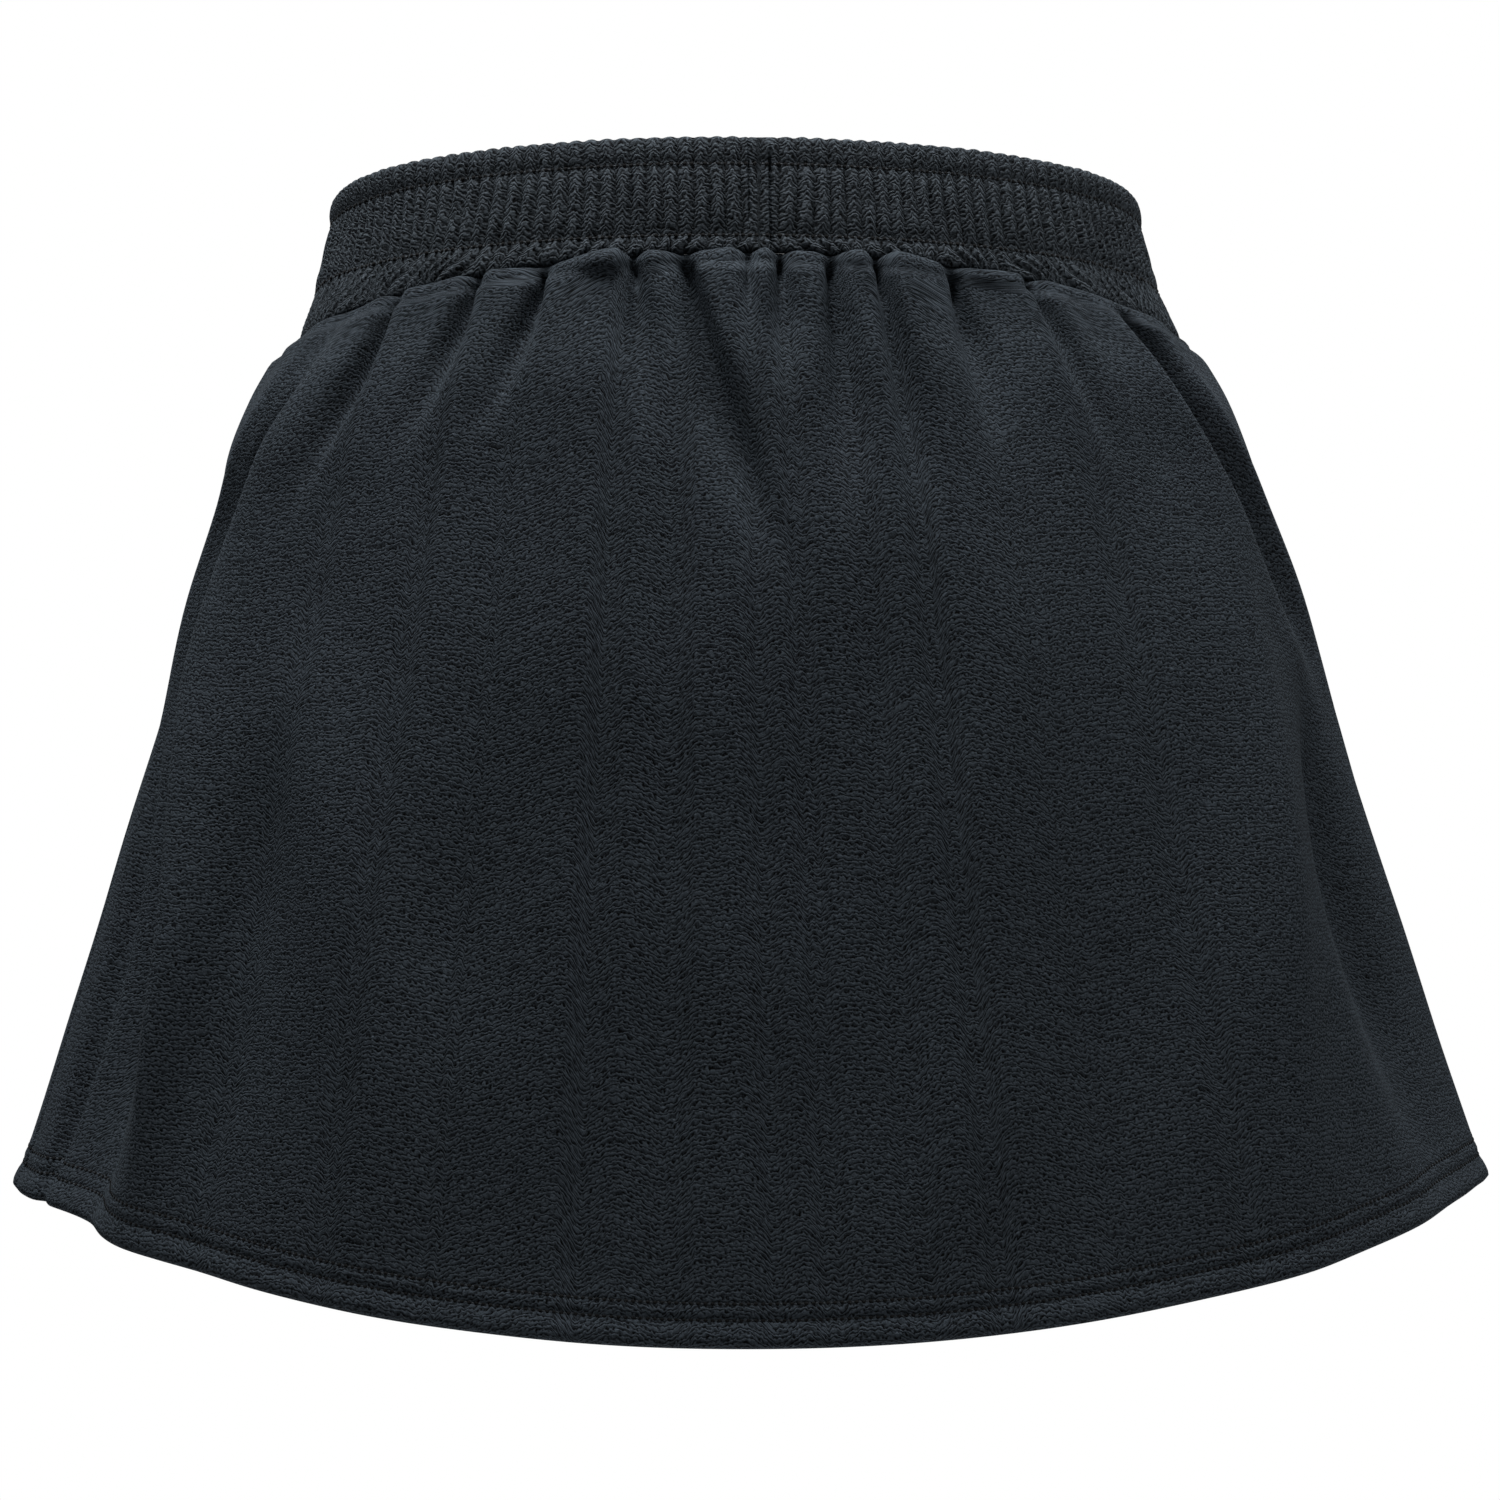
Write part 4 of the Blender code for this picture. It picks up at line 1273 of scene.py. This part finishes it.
def stitches(name, sewn):
    """One piece of stitches on lines that sewn_line gave, sunk a little into the cloth."""
    sizes, colours = bpy.context.scene.skort_sizes, bpy.context.scene.skort_colours
    points, ahead, outward = (np.concatenate(part) for part in zip(*sewn))
    mesh = bpy.data.meshes.new(name)
    mesh.from_pydata((points - outward * STITCH_SINK).tolist(), [], [])
    for value_name, value in (("ahead", ahead), ("outward", outward)):
        kept = mesh.attributes.new(value_name, "FLOAT_VECTOR", "POINT")
        kept.data.foreach_set("vector", value.astype(np.float32).reshape(-1))
    piece = bpy.data.objects.new(name, mesh)
    bpy.context.scene.collection.objects.link(piece)
    tree, identifiers = stitch_tree()
    sewing = piece.modifiers.new("stitches", "NODES")
    sewing.node_group = tree
    sewing[identifiers["Pitch"]] = sizes.stitch_pitch
    sewing[identifiers["Thread Width"]] = sizes.thread_width
    sewing[identifiers["Needle Hole"]] = sizes.needle_hole
    thread = thread_finish("sewing_thread", colours.thread, THREAD_ROUGHNESS)
    sewing[identifiers["Thread"]] = thread
    # The near-black finish of the needle-hole beads is painted shade.
    sewing[identifiers["Hole"]] = thread_finish("needle_hole", HOLE_SHADE_COLOUR, HOLE_ROUGHNESS)
    return finished(as_plain_mesh(piece))


# ---------------------------------------------------------------- operators


class SKORT_OT_waistband(bpy.types.Operator):
    """Make the ribbed waistband and its two sewn rows"""

    bl_idname = "skort.waistband"
    bl_label = "Waistband"

    def execute(self, context):
        sizes = context.scene.skort_sizes
        band = waistband(sizes)
        rows = [
            sewn_line(band, band[row], True, sizes.stitch_pitch)
            for row in ("upper_row", "lower_row")
        ]
        sewing = stitches("waistband_stitches", rows)
        return {"FINISHED"}


class SKORT_OT_skirt(bpy.types.Operator):
    """Make the back and front of the gathered skirt and sew their hems"""

    bl_idname = "skort.skirt"
    bl_label = "Skirt"

    def execute(self, context):
        sizes = context.scene.skort_sizes
        right = tuple(bearing + FULL_TURN for bearing in RIGHT_SEAM)
        for name, node, start, end in (
            ("skirt_back_panel", "skirt_back", LEFT_SEAM, right),
            ("skirt_front_panel", "skirt_front", RIGHT_SEAM, LEFT_SEAM),
        ):
            panel, cloth = skirt_panel(name, node, start, end, sizes)
            first = len(cloth) - len(HEM_PROFILE)
            heights = [above for above, _ in HEM_PROFILE]
            rows = [
                sewn_line(panel, first + heights.index(row), False, sizes.stitch_pitch)
                for row in HEM_STITCHES
            ]
            sewing = stitches(name.replace("panel", "hem_stitches"), rows)
        return {"FINISHED"}


class SKORT_OT_shorts(bpy.types.Operator):
    """Make the two halves of the inner shorts"""

    bl_idname = "skort.shorts"
    bl_label = "Inner shorts"

    def execute(self, context):
        for name, side in (("inner_short_right", 1), ("inner_short_left", -1)):
            half, cloth = shorts_half(name, side, context.scene.skort_sizes)
        return {"FINISHED"}


# ---------------------------------------------------------------- stage

CAMERA_TURN = math.radians(-4.4)
CAMERA_AWAY = 1.2
CAMERA_ASIDE = 0.00483
CAMERA_HEIGHT = -0.1696
LENS_MM = 86.4
SENSOR_MM = 36.0
FLOOR_HEIGHT = -0.78
LIGHTS = (
    # name, place, size, power in watts
    ("left", (-0.75, -0.65, 1.1), 0.45, 5.0),
    ("right", (1.2, -0.45, 0.9), 0.7, 10.0),
    ("top", (-0.15, -0.2, 1.2), 0.5, 30.0),
    ("far_left", (-0.9, 1.3, 0.8), 1.0, 2.5),
    ("far_right", (1.1, 1.1, 0.8), 1.0, 3.0),
)
LIGHT_AIM = (0.0, 0.0, -0.16)
# How bright the white surroundings are as a light, against 1 as they are seen.
AMBIENT = 0.06
FLOOR_SIDES, FLOOR_RADIUS = 96, 2.6
FLOOR_WHITE = (0.86, 0.86, 0.86, 1.0)
FLOOR_FADE = {"From Min": 0.45, "From Max": 1.5}


def aimed(place, target):
    """The turn that points a light's or camera's -Z axis from one place at another."""
    direction = np.array(target) - np.array(place)
    flat = math.hypot(direction[0], direction[1])
    return (math.atan2(flat, -direction[2]), 0.0, math.atan2(-direction[0], direction[1]))


def studio_white(nodes):
    """White where it is seen, and only a faint light on the cloth."""
    seen = nodes.add("ShaderNodeLightPath").outputs["Is Camera Ray"]
    return nodes.math("MULTIPLY_ADD", seen, 1.0 - AMBIENT, AMBIENT)


def floor():
    """A pale round floor whose rim fades into the white of the studio."""
    turns = np.linspace(0.0, 2.0 * math.pi, FLOOR_SIDES, endpoint=False)
    points = [
        (FLOOR_RADIUS * math.cos(turn), FLOOR_RADIUS * math.sin(turn), FLOOR_HEIGHT)
        for turn in turns
    ]
    mesh = bpy.data.meshes.new("floor")
    mesh.from_pydata(points, [], [range(FLOOR_SIDES)])
    piece = bpy.data.objects.new("floor", mesh)
    bpy.context.scene.collection.objects.link(piece)
    material, nodes, shader = new_material("floor_paper")
    shader.inputs["Base Color"].default_value = FLOOR_WHITE
    shader.inputs["Roughness"].default_value = 0.9
    place = nodes.add("ShaderNodeTexCoord").outputs["Object"]
    flat = nodes.add("ShaderNodeVectorMath", {0: place, 1: (1.0, 1.0, 0.0)}, operation="MULTIPLY")
    away = nodes.add("ShaderNodeVectorMath", {0: flat.outputs[0]}, operation="LENGTH")
    fade = {"Value": away.outputs["Value"], **FLOOR_FADE}
    fade = nodes.add("ShaderNodeMapRange", fade, interpolation_type="SMOOTHSTEP").outputs[0]
    glow = nodes.add("ShaderNodeEmission", {"Strength": studio_white(nodes)}).outputs[0]
    blend = nodes.add("ShaderNodeMixShader", {0: fade, 1: shader.outputs[0], 2: glow}).outputs[0]
    nodes.link(blend, material.node_tree.nodes["Material Output"].inputs[0])
    mesh.materials.append(material)


class SKORT_OT_stage(bpy.types.Operator):
    """Set up the pale floor, the soft lights and the camera"""

    bl_idname = "skort.stage"
    bl_label = "Studio"

    def execute(self, context):
        scene = context.scene
        scene.view_settings.view_transform = "Standard"
        floor()
        world = bpy.data.worlds.new("studio")
        scene.world = world
        world.use_nodes = True
        nodes = Nodes(world.node_tree)
        background = world.node_tree.nodes["Background"]
        background.inputs["Color"].default_value = (1.0, 1.0, 1.0, 1.0)
        nodes.link(studio_white(nodes), background.inputs["Strength"])
        for name, place, size, power in LIGHTS:
            lamp = bpy.data.lights.new(name, "AREA")
            lamp.size = size
            lamp.energy = power
            light = bpy.data.objects.new(name, lamp)
            light.location = place
            light.rotation_euler = aimed(place, LIGHT_AIM)
            scene.collection.objects.link(light)
        camera = bpy.data.objects.new("camera", bpy.data.cameras.new("camera"))
        camera.data.lens = LENS_MM
        camera.data.sensor_width = SENSOR_MM
        ahead = np.array([-math.sin(CAMERA_TURN), math.cos(CAMERA_TURN)])
        aside = np.array([math.cos(CAMERA_TURN), math.sin(CAMERA_TURN)])
        camera.location = (*(CAMERA_ASIDE * aside - CAMERA_AWAY * ahead), CAMERA_HEIGHT)
        camera.rotation_euler = (math.pi / 2.0, 0.0, CAMERA_TURN)
        scene.collection.objects.link(camera)
        scene.camera = camera
        return {"FINISHED"}


class SKORT_PT_panel(bpy.types.Panel):
    """The skort's sizes, colours and pieces"""

    bl_label = "Tennis skort"
    bl_idname = "SKORT_PT_panel"
    bl_space_type = "VIEW_3D"
    bl_region_type = "UI"
    bl_category = "Skort"

    def draw(self, context):
        for group in (context.scene.skort_sizes, context.scene.skort_colours):
            box = self.layout.box()
            for name in group.__annotations__:
                box.prop(group, name)
        for operator in OPERATORS:
            self.layout.operator(operator.bl_idname)


OPERATORS = (SKORT_OT_waistband, SKORT_OT_skirt, SKORT_OT_shorts, SKORT_OT_stage)
CLASSES = (SkortSizes, SkortColours, *OPERATORS, SKORT_PT_panel)


def register():
    for cls in CLASSES:
        bpy.utils.register_class(cls)
    bpy.types.Scene.skort_sizes = bpy.props.PointerProperty(type=SkortSizes)
    bpy.types.Scene.skort_colours = bpy.props.PointerProperty(type=SkortColours)


def unregister():
    del bpy.types.Scene.skort_colours
    del bpy.types.Scene.skort_sizes
    for cls in reversed(CLASSES):
        bpy.utils.unregister_class(cls)


def main():
    register()
    bpy.ops.skort.waistband()
    bpy.ops.skort.skirt()
    bpy.ops.skort.shorts()
    bpy.ops.skort.stage()


if __name__ == "__main__":
    main()
